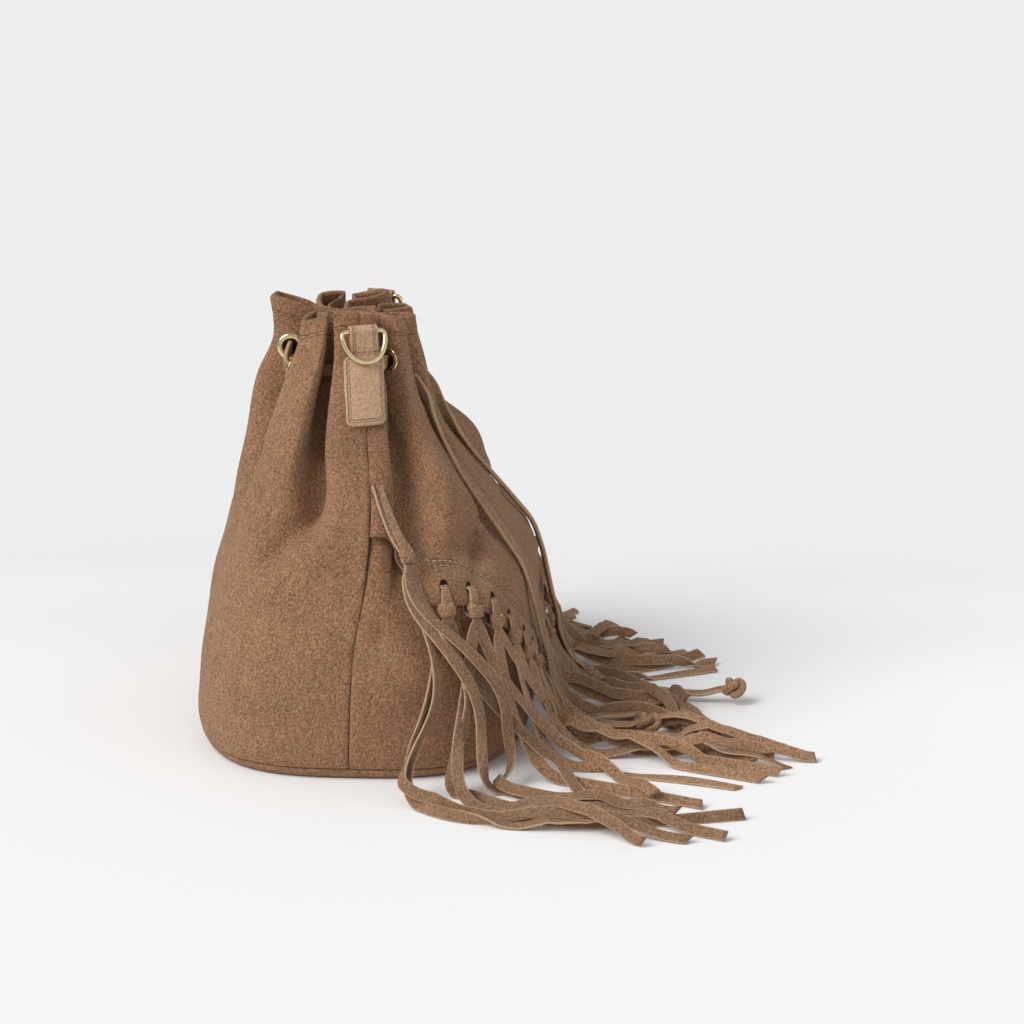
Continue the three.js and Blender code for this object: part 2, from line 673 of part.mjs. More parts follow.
// Ring tab: a strap stitched down over the side seam, folded over the ring bar at its top
function ringTab(hand) {
  const seat = barSeat(hand);
  const across = 4;
  const rows = [TAB_FOOT, TAB_FOOT + 3, 185, 197, TAB_SHOULDER, TAB_SHOULDER + 3, BAR_HEIGHT];
  const patch = wall(across, rows.length - 1, (i, j, face) => {
    const z = rows[j];
    const full = j === 0 ? TAB_WIDTH - 4 : TAB_WIDTH;
    const width = z > TAB_SHOULDER ? TAB_NECK : full;
    const frame = shellFrame(hand * 0.5, z);
    const shift = ((i / across - 0.5) * width) / frame.speed;
    const middle = offShell(hand * 0.5, z, TAB_LIFT + (1 - face) * TAB_THICK);
    const edge = offShell(hand * 0.5 + shift, z, TAB_LIFT + (1 - face) * TAB_THICK);
    return z > TAB_SHOULDER + 1 ? middle.addScaledVector(seat.along, (i / across - 0.5) * width) : edge;
  });
  const room = RING_WIRE / 2 + STRAP_ROOM;
  const outer = room + TAB_THICK;
  const profile = new THREE.Shape();
  profile.absarc(0, 0, outer, -Math.PI * 0.12, Math.PI, false);
  profile.lineTo(-outer, -3);
  profile.lineTo(-outer + TAB_THICK, -4.2);
  profile.lineTo(-room + 0.3, -room - 2.6);
  profile.lineTo(room * 0.9, -room - 0.4);
  const bore = new THREE.Path();
  bore.absarc(0, 0, room, 0, 2 * Math.PI, true);
  profile.holes.push(bore);
  const extrude = { depth: TAB_NECK, bevelEnabled: false, curveSegments: 6 };
  const loop = new THREE.ExtrudeGeometry(profile, extrude);
  loop.translate(0, 0, -TAB_NECK / 2);
  const basis = new THREE.Matrix4().makeBasis(seat.out, seat.up, seat.out.clone().cross(seat.up));
  loop.applyMatrix4(basis).translate(seat.at.x, seat.at.y, seat.at.z);
  return asGeometry(asSolid(patch).add(asSolid(loop)));
}

// Flat cord with rounded edges along a route: it starts on edge and lies flat after upTo steps
function flatCord(route, steps, width, upTo) {
  const curve = new THREE.CatmullRomCurve3(route, false, 'centripetal');
  const path = curve.getSpacedPoints(steps);
  const rings = path.map((point, i) => {
    const before = path[Math.max(0, i - 1)];
    const after = path[Math.min(steps, i + 1)];
    const forward = after.clone().sub(before).normalize();
    const level = new THREE.Vector3(-forward.y, forward.x, 0);
    return { point, forward, side: i > 0 && level.length() < 0.35 ? null : level.normalize() };
  });
  rings.forEach((ring, i) => {
    if (!ring.side) ring.side = rings[i - 1].side.clone();
    ring.side.addScaledVector(ring.forward, -ring.side.dot(ring.forward)).normalize();
  });
  rings.forEach((ring, i) => {
    const upright = ring.side.clone().cross(ring.forward);
    const lean = (Math.PI / 2) * (1 - ease(i / upTo));
    ring.side = ring.side.clone().multiplyScalar(Math.cos(lean)).addScaledVector(upright, Math.sin(lean));
  });
  const outline = [
    [-1, -0.35], [-0.6, -1], [0.6, -1], [1, -0.35],
    [1, 0.35], [0.6, 1], [-0.6, 1], [-1, 0.35],
  ];
  return loft(rings.map(({ point, forward, side }) => {
    const face = forward.clone().cross(side);
    return outline.map(([w, f]) => point.clone()
      .addScaledVector(side, (w * width) / 2)
      .addScaledVector(face, (f * CORD_THICK) / 2));
  }));
}

// The drawcord's run round the mouth, straight through each eyelet and loose inside the folds
function mouthRoute() {
  const order = (hand) => SEATS.filter((seat) => seat.hand === hand).sort((a, b) => a.t - b.t);
  const left = order(-1);
  const right = order(1);
  const ringOrder = [...left, ...right.reverse()];
  const centre = new THREE.Vector3(0, (rearReach(200) - frontReach(200)) / 2, 0);
  const route = [];
  ringOrder.forEach((seat) => {
    const tangent = new THREE.Vector3(seat.middle.y - centre.y, -(seat.middle.x - centre.x), 0);
    const sense = Math.sign(seat.axis.dot(tangent)) || 1;
    [-4, 4].forEach((step) => {
      route.push(seat.middle.clone().addScaledVector(seat.axis, sense * step));
    });
  });
  return route;
}

// A free end of the drawcord: out of the eyelet, down the groove of the front gather, over the flap edge
// and the fringe, then along the ground. The first list is [place round the half, height, lift].
function endRoute(hand, floor) {
  const seat = SEATS.find((one) => one.hand === hand && one.gather === 0);
  const start = seat.middle.clone().addScaledVector(seat.axis, CORD_START);
  const fall = CORD_FALL.map(([t, z, lift]) => {
    const level = Math.max(z, BASE_HEIGHT);
    const angle = turn(t, level);
    const ahead = new THREE.Vector3(hand * Math.sin(angle), -Math.cos(angle), 0);
    return shell(hand * t, level).addScaledVector(ahead, lift).setZ(z);
  });
  return [start, ...fall, ...floor.map(([x, y, z]) => new THREE.Vector3(x, y, z))];
}

// End knot: a rounded lump a little past the end of its cord
function cordKnot(route) {
  const end = route[route.length - 1];
  const before = route[route.length - 2];
  const ahead = end.clone().sub(before).setZ(0).normalize();
  const lump = new THREE.IcosahedronGeometry(KNOT_RADIUS, 1);
  lump.scale(1, 1, KNOT_FLAT);
  const place = end.clone().addScaledVector(ahead, KNOT_RADIUS + GAP);
  lump.translate(place.x, place.y, Math.max(place.z, LACES_DEEP + KNOT_RADIUS * KNOT_FLAT + GAP));
  return lump;
}

const bag = new THREE.Group();

function add(name, geometry, material) {
  const mesh = new THREE.Mesh(geometry, material);
  mesh.name = name;
  bag.add(mesh);
}

function gold() {
  return new THREE.MeshStandardMaterial({ color: COLOURS.gold, roughness: 0.2, metalness: 1 });
}

add('front_upper_panel', frontUpperPanel(), suede(COLOURS.suede));
add('front_lower_panel', frontLowerPanel(), suede(COLOURS.suede));
add('back_panel', backPanel(), suede(COLOURS.suede));
add('base_panel', basePanel(), suede(COLOURS.suede));

[[-1, 'left'], [1, 'right']].forEach(([hand, name]) => {
  add(`ring_tab_${name}`, ringTab(hand), suede(COLOURS.tab));
  add(`d_ring_${name}`, dRing(hand), gold());
  SEATS.filter((seat) => seat.hand === hand).forEach((seat, i) => {
    add(`eyelet_${name}_${i + 1}`, eyelet(seat), gold());
  });
});

for (let k = -HOLES_EACH_SIDE - 1; k <= HOLES_EACH_SIDE + 1; k += 1) {
  const side = k < 0 ? 'left' : 'right';
  const name = k === 0 ? 'fringe_lace_middle' : `fringe_lace_${side}_${Math.abs(k)}`;
  add(name, tassel(k), suede(COLOURS.lace));
}

const runCord = flatCord(mouthRoute(), RUN_RINGS, CORD_SQUEEZED, Infinity);
add('drawcord_mouth_run', runCord, suede(COLOURS.lace));
[[-1, 'left', LEFT_FLOOR], [1, 'right', RIGHT_FLOOR]].forEach(([hand, name, floor]) => {
  const route = endRoute(hand, floor);
  const endCord = flatCord(route, END_RINGS[name], CORD_WIDTH, TURN_RINGS);
  add(`drawcord_end_${name}`, endCord, suede(COLOURS.lace));
  add(`drawcord_knot_${name}`, cordKnot(route), suede(COLOURS.lace));
});

export default bag;
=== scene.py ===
import json
import math

import bpy
import numpy as np
from mathutils import Matrix

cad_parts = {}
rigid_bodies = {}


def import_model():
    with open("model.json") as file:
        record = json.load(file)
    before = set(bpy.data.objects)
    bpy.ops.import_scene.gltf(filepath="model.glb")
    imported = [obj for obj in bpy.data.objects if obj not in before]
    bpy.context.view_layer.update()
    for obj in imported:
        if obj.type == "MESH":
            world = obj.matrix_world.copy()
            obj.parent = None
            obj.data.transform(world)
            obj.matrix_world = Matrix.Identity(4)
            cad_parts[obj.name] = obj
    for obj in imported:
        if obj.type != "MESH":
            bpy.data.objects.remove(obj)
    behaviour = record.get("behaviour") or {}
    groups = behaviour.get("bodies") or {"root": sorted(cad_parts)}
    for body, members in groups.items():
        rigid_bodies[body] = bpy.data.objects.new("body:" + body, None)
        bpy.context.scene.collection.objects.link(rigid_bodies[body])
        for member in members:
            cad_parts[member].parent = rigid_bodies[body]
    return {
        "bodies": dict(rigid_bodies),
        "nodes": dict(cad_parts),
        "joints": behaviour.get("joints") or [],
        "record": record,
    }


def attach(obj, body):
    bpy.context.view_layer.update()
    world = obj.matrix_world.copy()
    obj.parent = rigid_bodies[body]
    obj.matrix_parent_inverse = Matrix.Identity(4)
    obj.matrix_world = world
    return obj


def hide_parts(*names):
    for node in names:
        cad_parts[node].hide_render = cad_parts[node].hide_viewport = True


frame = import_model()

bl_info = {
    "name": "Fringed suede bag",
    "version": (1, 0, 0),
    "blender": (4, 5, 0),
    "location": "3D View > Sidebar > Bag",
    "description": "Dresses the bag's frame in suede panels, laces, a drawcord and gold rings",
    "category": "Object",
}

MM = 0.001

# The shell's outline against height, in millimetres, as the frame's solids have it
HALF_WIDTH = [(0, 124), (40, 124), (85, 119), (115, 110), (140, 95), (175, 72), (200, 55), (228, 41)]
REAR_REACH = [(0, 94), (55, 89), (102, 80), (147, 68), (187, 60), (215, 53), (231, 53)]
FRONT_REACH = [(0, 89), (60, 88), (85, 85), (118, 67), (145, 47), (170, 32), (200, 25), (220, 22)]
SQUARENESS = [(0, 3), (120, 2.7), (228, 2.2)]
MOUTH_TURN = [
    (0, 0), (0.13, 20), (0.25, 36), (0.37, 53), (0.5, 72), (0.63, 95),
    (0.73, 112), (0.83, 138), (0.93, 166), (1, 180),
]
GATHER_START = 60
GATHER_END = 205

# Each gather: place of its valley low down and at the rim, its reach ahead and behind at
# both, and its depth against height
GATHERS = [
    (0.13, 0.13, (0.09, 0.1), (0.08, 0.085), [(80, 0), (130, 7), (175, 17), (205, 20)]),
    (0.445, 0.37, (0.06, 0.085), (0.03, 0.06), [(85, 0), (115, 5), (140, 13), (165, 19), (205, 22)]),
    (0.6, 0.63, (0.035, 0.05), (0.04, 0.055), [(135, 0), (150, 6), (175, 13), (205, 12)]),
    (0.83, 0.83, (0.07, 0.1), (0.07, 0.1), [(105, 0), (121, 6), (150, 14), (190, 22), (205, 24)]),
]
# Swells and dents: place, height, spread round, spread up, how far out
SWELLS = [(0.31, 141, 0.09, 16, 5), (0.28, 116, 0.11, 10, -5)]

# Sharper creases in the folds: each one's place, half width and depth against height
CREASES = [
    ([(90, 0.445), (140, 0.425), (180, 0.39), (222, 0.37)], [(110, 0.03), (165, 0.026), (192, 0.018)],
     [(84, 0), (108, 6.5), (150, 12.5), (215, 12)]),
    ([(120, 0.6), (150, 0.605), (205, 0.63), (230, 0.63)], [(130, 0.024), (190, 0.024), (210, 0.02)],
     [(112, 0), (138, 10), (180, 15), (228, 12)]),
    ([(98, 0.67), (118, 0.645), (135, 0.62), (152, 0.605)], [(100, 0.03), (150, 0.024)],
     [(92, 0), (112, 5), (136, 7), (162, 0)]),
    ([(105, 0.79), (140, 0.815), (205, 0.83), (231, 0.83)], [(110, 0.03), (185, 0.02)],
     [(100, 0), (135, 6), (190, 9), (228, 9)]),
    ([(85, 0.14), (140, 0.13), (205, 0.13), (220, 0.13)], [(90, 0.024), (200, 0.018)],
     [(84, 0), (130, 4), (190, 7), (218, 7)]),
    ([(80, 0.36), (108, 0.27), (118, 0.2), (122, 0.16)], [(80, 0.03), (120, 0.03)],
     [(78, 0), (98, 2), (112, 4), (124, 0)]),
]
# Fuller and hollow places beside them: place, height, spread round, spread up, how far out
PUFFS = [
    (0.31, 143, 0.07, 15, 3.5), (0.27, 115, 0.09, 7, -4.5), (0.69, 176, 0.035, 32, 3),
    (0.56, 168, 0.03, 36, 2), (0.74, 140, 0.05, 22, 2), (0.9, 170, 0.05, 30, 2),
    (0.7, 112, 0.07, 16, -2), (0.4, 168, 0.02, 26, 1.5),
    (1.0, 208, 0.06, 9, -5), (1.0, 226, 0.05, 6, 1.5),
]

# Folds that lean over the crease between them: place, spread and how far they lean towards the back
LEANS = [(0.675, 0.04, -6.5), (0.575, 0.03, 3.5), (0.88, 0.03, -3)]

RIM_FRONT = 218
RIM_BACK = 231
RIM_SIDE_LIFT = 3
# Dips of the rim: place round the bag, spread and depth
RIM_DIPS = [
    (0.62, 0.12, 10), (0.82, 0.09, 12), (-0.63, 0.04, 5), (-0.75, 0.07, 8), (-0.85, 0.045, 8),
    (1.0, 0.05, 3), (0.3, 0.12, 4),
]
HEM_DEPTH = 10.5
HEM_EXTRA = 1.2
BASE_HEIGHT = 6
FOOT_INSET = 6
FOOT_HEIGHT = 20
GAP = 0.3

# The flap and its row of holes
HOLE_LOW = 46
HOLE_RISE = 54
HOLE_RISE_START = 0.055
HOLE_RISE_END = 0.385
HOLE_PITCH = 0.048
HOLES_EACH_SIDE = 8
EDGE_BELOW_HOLES = 9
SEAM_RISE = 34
SEAM_RISE_START = 0.392
LAP = 21
FLARE = 2.5
SUNK = 2.15

# Laces
LACE_NECK = 4
LACE_DROP = 11
KNOT_LIFT = 5.2
SEAM_LACE = 0.448
SEAM_LACE_TOP = 147
SEAM_LACE_KNOT = 115

# Eyelets: which gather, which flank and height
EYELET_SEATS = [(0, 1, 187), (1, -1, 199), (1, 1, 199), (3, -1, 196), (3, 1, 203)]
EYELET_HOLE = 4

# Drawcord: place round the half, height and lift of each free end's fall, then its points on the ground
CORD_START = 6
CORD_SQUEEZED = 5.6
CORD_FALL = [
    (0.11, 184, 12.5), (0.115, 176, 16), (0.125, 166, 15.5), (0.13, 155, 12), (0.128, 142, 8),
    (0.126, 126, 5), (0.122, 108, 3.6), (0.118, 94, 3), (0.112, 80, 3.2), (0.104, 66, 4.6),
    (0.098, 54, 6.6), (0.092, 43, 9.2), (0.09, 32, 10.6), (0.088, 22, 14.5), (0.086, 14, 19),
    (0.085, 8.4, 26),
]
LEFT_FLOOR = [
    (-27, -126, 4.7), (-24, -137, 4.6), (-16, -145, 4.6), (-6, -150, 4.6), (-1, -158, 4.6),
    (-6, -167, 4.6), (-17, -169, 4.6), (-31, -163, 5.2), (-44, -154, 8),
]
RIGHT_FLOOR = [
    (26, -126, 4.7), (23, -138, 4.6), (18, -150, 4.6), (14, -164, 4.6), (11, -178, 5.2), (10, -188, 8),
]
MOUTH_RUN_POINTS = 260
CORD_END_POINTS = 240
CORD_TURN_STEPS = 54
KNOT_LUMP_HEIGHT = 5.4
KNOT_RADIUS = 7
KNOT_HEIGHT = 9.25

# Ring tab and ring
TAB_WIDTH = 21
TAB_NECK = 15
TAB_LIFT = 0.45
TAB_FOOT = 174
TAB_SHOULDER = 208
TAB_CORNER = 3
BAR_HEIGHT = 217
RING_INNER = 20
RING_REACH = 17
RING_CORNER = 2.4
STRAP_ROOM = 0.4

# Where the strands of each lace end on the ground: (x, y) pairs by lace number, left side negative
TIPS = {
    -9: ((-196, -172), (-192, -190), (-202, -150), (-172, -166)),
    -8: ((-177, -123), (-180, -141)),
    -7: ((-145, -155), (-160, -199)),
    -6: ((-114, -209), (-150, -178)),
    -5: ((-102, -218), (-124, -196)),
    -4: ((-94, -221), (-79, -237)),
    -3: ((-86, -206), (-68, -221)),
    -2: ((-76, -216), (-62, -192)),
    -1: ((-58, -202), (-66, -182)),
    0: ((-48, -194), (-16, -178)),
    1: ((-34, -182), (-52, -170)),
    2: ((62, -186), (-14, -168)),
    3: ((86, -178), (72, -186)),
    4: ((94, -168), (88, -158)),
    5: ((97, -146), (104, -156)),
    6: ((112, -132), (104, -138)),
    7: ((122, -124), (134, -112)),
    8: ((152, -100), (162, -84)),
    9: ((184, -70), (192, -54), (176, -90), (168, -102)),
}
# Points that a strand passes on its way over the ground, by lace number and strand
DETOURS = {
    (-9, 0): [(-160, -42), (-175, -79), (-182, -118)],
    (-9, 1): [(-131, -74), (-141, -92), (-163, -130)],
    (-9, 2): [(-139, -52), (-160, -82), (-182, -114)],
    (-9, 3): [(-133, -70), (-150, -104), (-163, -136)],
    (9, 0): [(162, -48)],
    (9, 1): [(134, -50), (162, -50)],
    (9, 2): [(134, -60), (156, -76)],
    (9, 3): [(128, -74), (150, -92)],
}
# Fall of a strand: its height as a share of its knot's, and how far it hangs off the leather at each; the
# last two are shares of how far out it lands
FALL_SHARES = np.array([0.96, 0.84, 0.62, 0.4, 0.2, 0.07])
FALL_LIFTS = [4.7, 6.6, 9.8, 14.5]
FALL_REACHES = [0.62, 0.93]
OUTER_LIFT = 1.8
SEAM_LIFT = np.array([0, 0.8, 3.0, 0, 0, 0])
# How far round the bag each strand of a seam lace drifts forward as it falls, and where each strand
# leaves its knot
SEAM_DRIFTS = (0, 0.1, 0.05, 0.14)
KNOT_EXITS = (-1.6, 1.6, -0.6, 0.7)
BAND_STEPS = 28
STRAND_POINTS = 96
LOOP_POINTS = 36
SEAM_LOOP_POINTS = 28
GROUND_LEVEL = 0.8

# Columns and rows of each panel's grid
FLAP_GRID = (420, 110)
WALL_GRID = (300, 50)
BACK_GRID = (420, 130)

# Camera: its bearing, rise and distance, its lens and sensor, and the pixel where it sees the frame's origin
CAMERA_AZIMUTH = -86.5
CAMERA_ELEVATION = 16
CAMERA_AWAY = 1.7
CAMERA_LENS = 108.66
CAMERA_SENSOR = 36
ORIGIN_PIXEL = (378, 702)
PICTURE_MIDDLE = 512
FOCAL_PIXELS = 3091

# Suns: name, where each shines from, strength and softness in degrees
SUNS = [("key", (-0.75, 1.15, 1.3), 2.3, 38), ("front_fill", (-0.9, -1.2, 0.9), 0.22, 70)]
SKY_STRENGTH = 0.46
SKY_COLOUR = (0.98, 0.99, 1.0, 1)
SKY_SEEN = (0.846, 0.844, 0.842, 1)
# Floor: half its width, and its colour near the bag, behind it and far behind it; the darker colours behind
# it are painted shade of the light falling off farther back
FLOOR_HALF = 12
FLOOR_NEAR = (0.945, 0.943, 0.94, 1)
FLOOR_BEHIND = (0.9, 0.898, 0.896, 1)
FLOOR_FAR = (0.868, 0.866, 0.864, 1)
# Near black painted shade for the openings of the lacing holes and eyelets
PAINTED_OPENING_SHADE = (0.012, 0.007, 0.004, 1)


def curve_through(knots):
    """Smooth curve through knots: a cubic between each pair, with the harmonic mean of the two
    neighbouring slopes at a knot, or none where they change sign, so it never swings past them."""
    x, y = np.array(knots, float).T
    secant = np.diff(y) / np.diff(x)
    before, after = secant[:-1], secant[1:]
    same = before * after > 0
    slope = np.zeros(len(x))
    slope[1:-1] = np.where(same, 2 * before * after / np.where(same, before + after, 1), 0)

    def value(at):
        at = np.clip(at, x[0], x[-1])
        i = np.clip(np.searchsorted(x, at) - 1, 0, len(x) - 2)
        span = x[i + 1] - x[i]
        s = (at - x[i]) / span
        bend = span * s * (1 - s) * (slope[i] * (1 - s) - slope[i + 1] * s)
        return y[i] + (y[i + 1] - y[i]) * s * s * (3 - 2 * s) + bend

    return value


def turn_through(knots):
    """The same curve with its first and last knots mirrored beyond the ends, so it keeps turning there."""
    first = (-knots[1][0], -knots[1][1])
    last = (2 - knots[-2][0], 360 - knots[-2][1])
    return curve_through([first, *knots, last])


half_width = curve_through(HALF_WIDTH)
rear_reach = curve_through(REAR_REACH)
front_reach = curve_through(FRONT_REACH)
squareness = curve_through(SQUARENESS)
mouth_turn = turn_through(MOUTH_TURN)
gather_depths = [curve_through(gather[4]) for gather in GATHERS]


def ease(s):
    """Smooth step: s squared times three less two s, between 0 and 1."""
    s = np.clip(s, 0, 1)
    return s * s * (3 - 2 * s)


def mix(a, b, share):
    """The value that lies a share of the way from a to b."""
    return a + (b - a) * share


def unit(v):
    """Each vector at length one."""
    return v / np.maximum(np.linalg.norm(v, axis=-1, keepdims=True), 1e-9)


def gathered_share(z):
    """How far the gathers have closed at a height: 0 at their start and 1 near the rim."""
    return ease((z - GATHER_START) / (GATHER_END - GATHER_START))


def rim_height(t):
    """Rim: a half cosine from the front's height to the back's, plus a sine squared lift at the sides."""
    half = (RIM_BACK - RIM_FRONT) / 2
    return RIM_FRONT + half * (1 - np.cos(np.pi * t)) + RIM_SIDE_LIFT * np.sin(np.pi * t) ** 2


def rim_at(u):
    """The rim as it settles: lower by bell-shaped dips where the mouth's folds close on each other."""
    t = np.abs(np.mod(u + 1, 2) - 1)
    drop = np.zeros(np.shape(u))
    for at, spread, down in RIM_DIPS:
        drop = drop + down * np.exp(-((np.mod(u - at + 1, 2) - 1) / spread) ** 2)
    return rim_height(t) - drop


def hole_height(t):
    """Height of the hole row: a half cosine rise between two places."""
    share = np.clip((t - HOLE_RISE_START) / (HOLE_RISE_END - HOLE_RISE_START), 0, 1)
    return HOLE_LOW + HOLE_RISE * 0.5 * (1 - np.cos(np.pi * share))


def flap_line(t):
    """The hole row's line, carried up to the side seam past the last hole by a smooth step."""
    return hole_height(t) + SEAM_RISE * ease((t - SEAM_RISE_START) / (0.5 - SEAM_RISE_START - 0.02))


def edge_height(t):
    """Height of the flap's lower edge."""
    return flap_line(t) - EDGE_BELOW_HOLES


def turn(t, z):
    """Angle from the front: even round the base, the mouth's own spacing at the top."""
    even = np.pi * t + 0.05 * np.sin(4 * np.pi * t) + 0.075 * np.sin(2 * np.pi * t)
    return mix(even, np.radians(mouth_turn(t)), gathered_share(z))


def valley(gather, z):
    """Place of a gather's valley and its reach ahead and behind, at a height."""
    low, top, ahead, behind, _ = gather
    share = gathered_share(z)
    return mix(low, top, share), mix(ahead[0], ahead[1], share), mix(behind[0], behind[1], share)


def drawn_in(t, z):
    """How far the leather is drawn in: a half cosine well for each gather, less bell-shaped swells."""
    inward = np.zeros(np.broadcast(t, z).shape)
    for gather, depth in zip(GATHERS, gather_depths):
        at, ahead, behind = valley(gather, z)
        s = np.minimum(1, np.abs(t - at) / np.where(t < at, ahead, behind))
        inward = inward + depth(z) * 0.5 * (1 + np.cos(np.pi * s))
    for at, height, spread, tall, out in SWELLS:
        inward = inward - out * np.exp(-((t - at) / spread) ** 2 - ((z - height) / tall) ** 2)
    return inward


def shell(u, z):
    """Outer face of the bag: a squared ellipse at each height, drawn in by the gathers. u is 0 at the
    front centre, 0.5 at the right seam, 1 at the back centre and -0.5 at the left seam."""
    u, z = np.broadcast_arrays(np.asarray(u, float), np.asarray(z, float))
    wrapped = np.mod(u + 1, 2) - 1
    t = np.abs(wrapped)
    angle = turn(t, z)
    sin, cos = np.sin(angle), np.cos(angle)
    depth = (rear_reach(z) + front_reach(z)) / 2
    middle = (rear_reach(z) - front_reach(z)) / 2
    n = squareness(z)
    radius = ((np.abs(sin) / half_width(z)) ** n + (np.abs(cos) / depth) ** n) ** (-1 / n) - drawn_in(t, z)
    return np.stack([np.sign(wrapped) * radius * sin, middle - radius * cos, z], -1)


def shell_frame(u, z):
    """Point, direction along the leather, up it and out of it, by differences either side."""
    step, rise = 0.002, 0.5
    along = (shell(u + step, z) - shell(u - step, z)) / (2 * step)
    speed = np.linalg.norm(along, axis=-1)
    along = unit(along)
    up = unit(shell(u, z + rise) - shell(u, z - rise))
    out = unit(np.cross(along, up))
    return shell(u, z), along, np.cross(out, along), out, speed


def off_shell(u, z, lift):
    """A point that stands off the shell along its normal."""
    at, _, _, out, _ = shell_frame(u, z)
    return at + out * np.asarray(lift, float)[..., None]


def flare(t, z):
    """The flap stands off the lower panel from its stitch row down."""
    return FLARE * (1 - ease((z - flap_line(t) - 2) / (LAP - EDGE_BELOW_HOLES - 2)))


def sunk(t, z):
    """The lower panel sinks behind the flap and comes back out below it."""
    return SUNK * ease((z - edge_height(t) + 40) / 30)


def ripple(u, z):
    """Slight unevenness of soft leather, in mm: three slanted waves of unlike lengths, calm at the base."""
    low = ease((z - 12) / 60)
    waves = 0.5 * np.sin(19 * u + z / 13.7 + 0.6) + 0.42 * np.sin(31 * u - z / 9.1 + 2.1)
    return low * (waves + 0.3 * np.sin(47 * u + z / 6.3 + 4.4)) * (1 - ease((z - 195) / 20))


def creased(t, z):
    """Inward depth of the sharp creases, bell-shaped across each line, less the puffs beside them."""
    inward = np.zeros(np.broadcast(t, z).shape)
    for line, half, depth in CREASES:
        across = (t - curve_through(line)(z)) / curve_through(half)(z)
        inward = inward + curve_through(depth)(z) * np.exp(-across ** 2)
    for at, height, spread, tall, out in PUFFS:
        inward = inward - out * np.exp(-((t - at) / spread) ** 2 - ((z - height) / tall) ** 2)
    return inward


def leaning(t, z):
    """How far the leather leans along itself towards the back: bell-shaped round each fold, and growing
    up the neck."""
    along = np.zeros(np.broadcast(t, z).shape)
    for at, spread, far in LEANS:
        along = along + far * np.exp(-((t - at) / spread) ** 2)
    return along * ease((z - 125) / 50)


def foot_round(z):
    """How far the wall and base curve in towards the ground."""
    return FOOT_INSET * np.clip(1 - z / FOOT_HEIGHT, 0, 1) ** 2


def spread_evenly(points, count):
    """Points at even distances along a line of points."""
    points = np.asarray(points, float)
    run = np.concatenate([[0], np.cumsum(np.linalg.norm(np.diff(points, axis=0), axis=1))])
    at = np.linspace(0, run[-1], count)
    return np.stack([np.interp(at, run, points[:, axis]) for axis in range(3)], -1)


def smooth_route(knots, count):
    """Centripetal cubic through the knots: each stretch is blended from its four nearest knots, with
    parameters spaced by the square root of their distances, then sampled at even distances."""
    knots = np.asarray(knots, float)
    padded = np.vstack([2 * knots[0] - knots[1], knots, 2 * knots[-1] - knots[-2]])
    gaps = np.sqrt(np.linalg.norm(np.diff(padded, axis=0), axis=1))
    stations = np.concatenate([[0], np.cumsum(gaps)])
    fine = []
    for i in range(1, len(padded) - 2):
        a, b, c, d = stations[i - 1:i + 3]
        p, q, r, s = padded[i - 1:i + 3]
        at = np.linspace(b, c, 24, endpoint=False)[:, None]
        first = (b - at) / (b - a) * p + (at - a) / (b - a) * q
        second = (c - at) / (c - b) * q + (at - b) / (c - b) * r
        third = (d - at) / (d - c) * r + (at - c) / (d - c) * s
        left = (c - at) / (c - a) * first + (at - a) / (c - a) * second
        right = (d - at) / (d - b) * second + (at - b) / (d - b) * third
        fine.append((c - at) / (c - b) * left + (at - b) / (c - b) * right)
    fine.append(knots[-1:])
    return spread_evenly(np.vstack(fine), count)


def smoothed(rows, reach):
    """Mean of each row and its neighbours on both sides. The rows go on past the ends as mirror images, so
    the ends stay."""
    padded = np.pad(rows, ((reach, reach), (0, 0)), mode="reflect", reflect_type="odd")
    window = np.ones(2 * reach + 1) / (2 * reach + 1)
    columns = [np.convolve(padded[:, axis], window, mode="valid") for axis in range(rows.shape[1])]
    return np.stack(columns, -1)


STRAP_OUTLINE = np.array([
    (-1, -0.3), (-0.9, -0.85), (-0.5, -1), (0.5, -1), (0.9, -0.85), (1, -0.3),
    (1, 0.3), (0.9, 0.85), (0.5, 1), (-0.5, 1), (-0.9, 0.85), (-1, 0.3),
])


def ribbon(path, side, width, thick):
    """A flat outline carried along a path: its width lies on the side direction made square to the
    path, its thickness on the cross product of the path and the side."""
    forward = unit(np.gradient(path, axis=0))
    side = unit(side - forward * np.sum(side * forward, -1, keepdims=True))
    face = np.cross(forward, side)
    width = np.broadcast_to(width, len(path))[:, None, None]
    across = STRAP_OUTLINE[None, :, :1] * width / 2
    deep = STRAP_OUTLINE[None, :, 1:] * thick / 2
    return path[:, None] + side[:, None] * across + face[:, None] * deep


def rolled(path, side, angle):
    """Turns the side direction about the path by an angle at each point."""
    forward = unit(np.gradient(path, axis=0))
    side = unit(side - forward * np.sum(side * forward, -1, keepdims=True))
    face = np.cross(forward, side)
    return side * np.cos(angle)[:, None] + face * np.sin(angle)[:, None]


def strap_marks(path, count, tone=0.3):
    """Where each point of a ribbon is: distance along it in mm, place across it from -1 to 1, 1 on its cut
    edges, and how dark its suede is."""
    run = np.concatenate([[0], np.cumsum(np.linalg.norm(np.diff(path, axis=0), axis=1))])
    edge = (np.abs(STRAP_OUTLINE[:, 0]) > 0.95).astype(float)
    return {
        "run": np.broadcast_to(run[:, None], (count, len(edge))),
        "across": np.broadcast_to(STRAP_OUTLINE[None, :, 0], (count, len(edge))),
        "edge": np.broadcast_to(edge[None], (count, len(edge))),
        "tone": np.full((count, len(edge)), tone),
    }


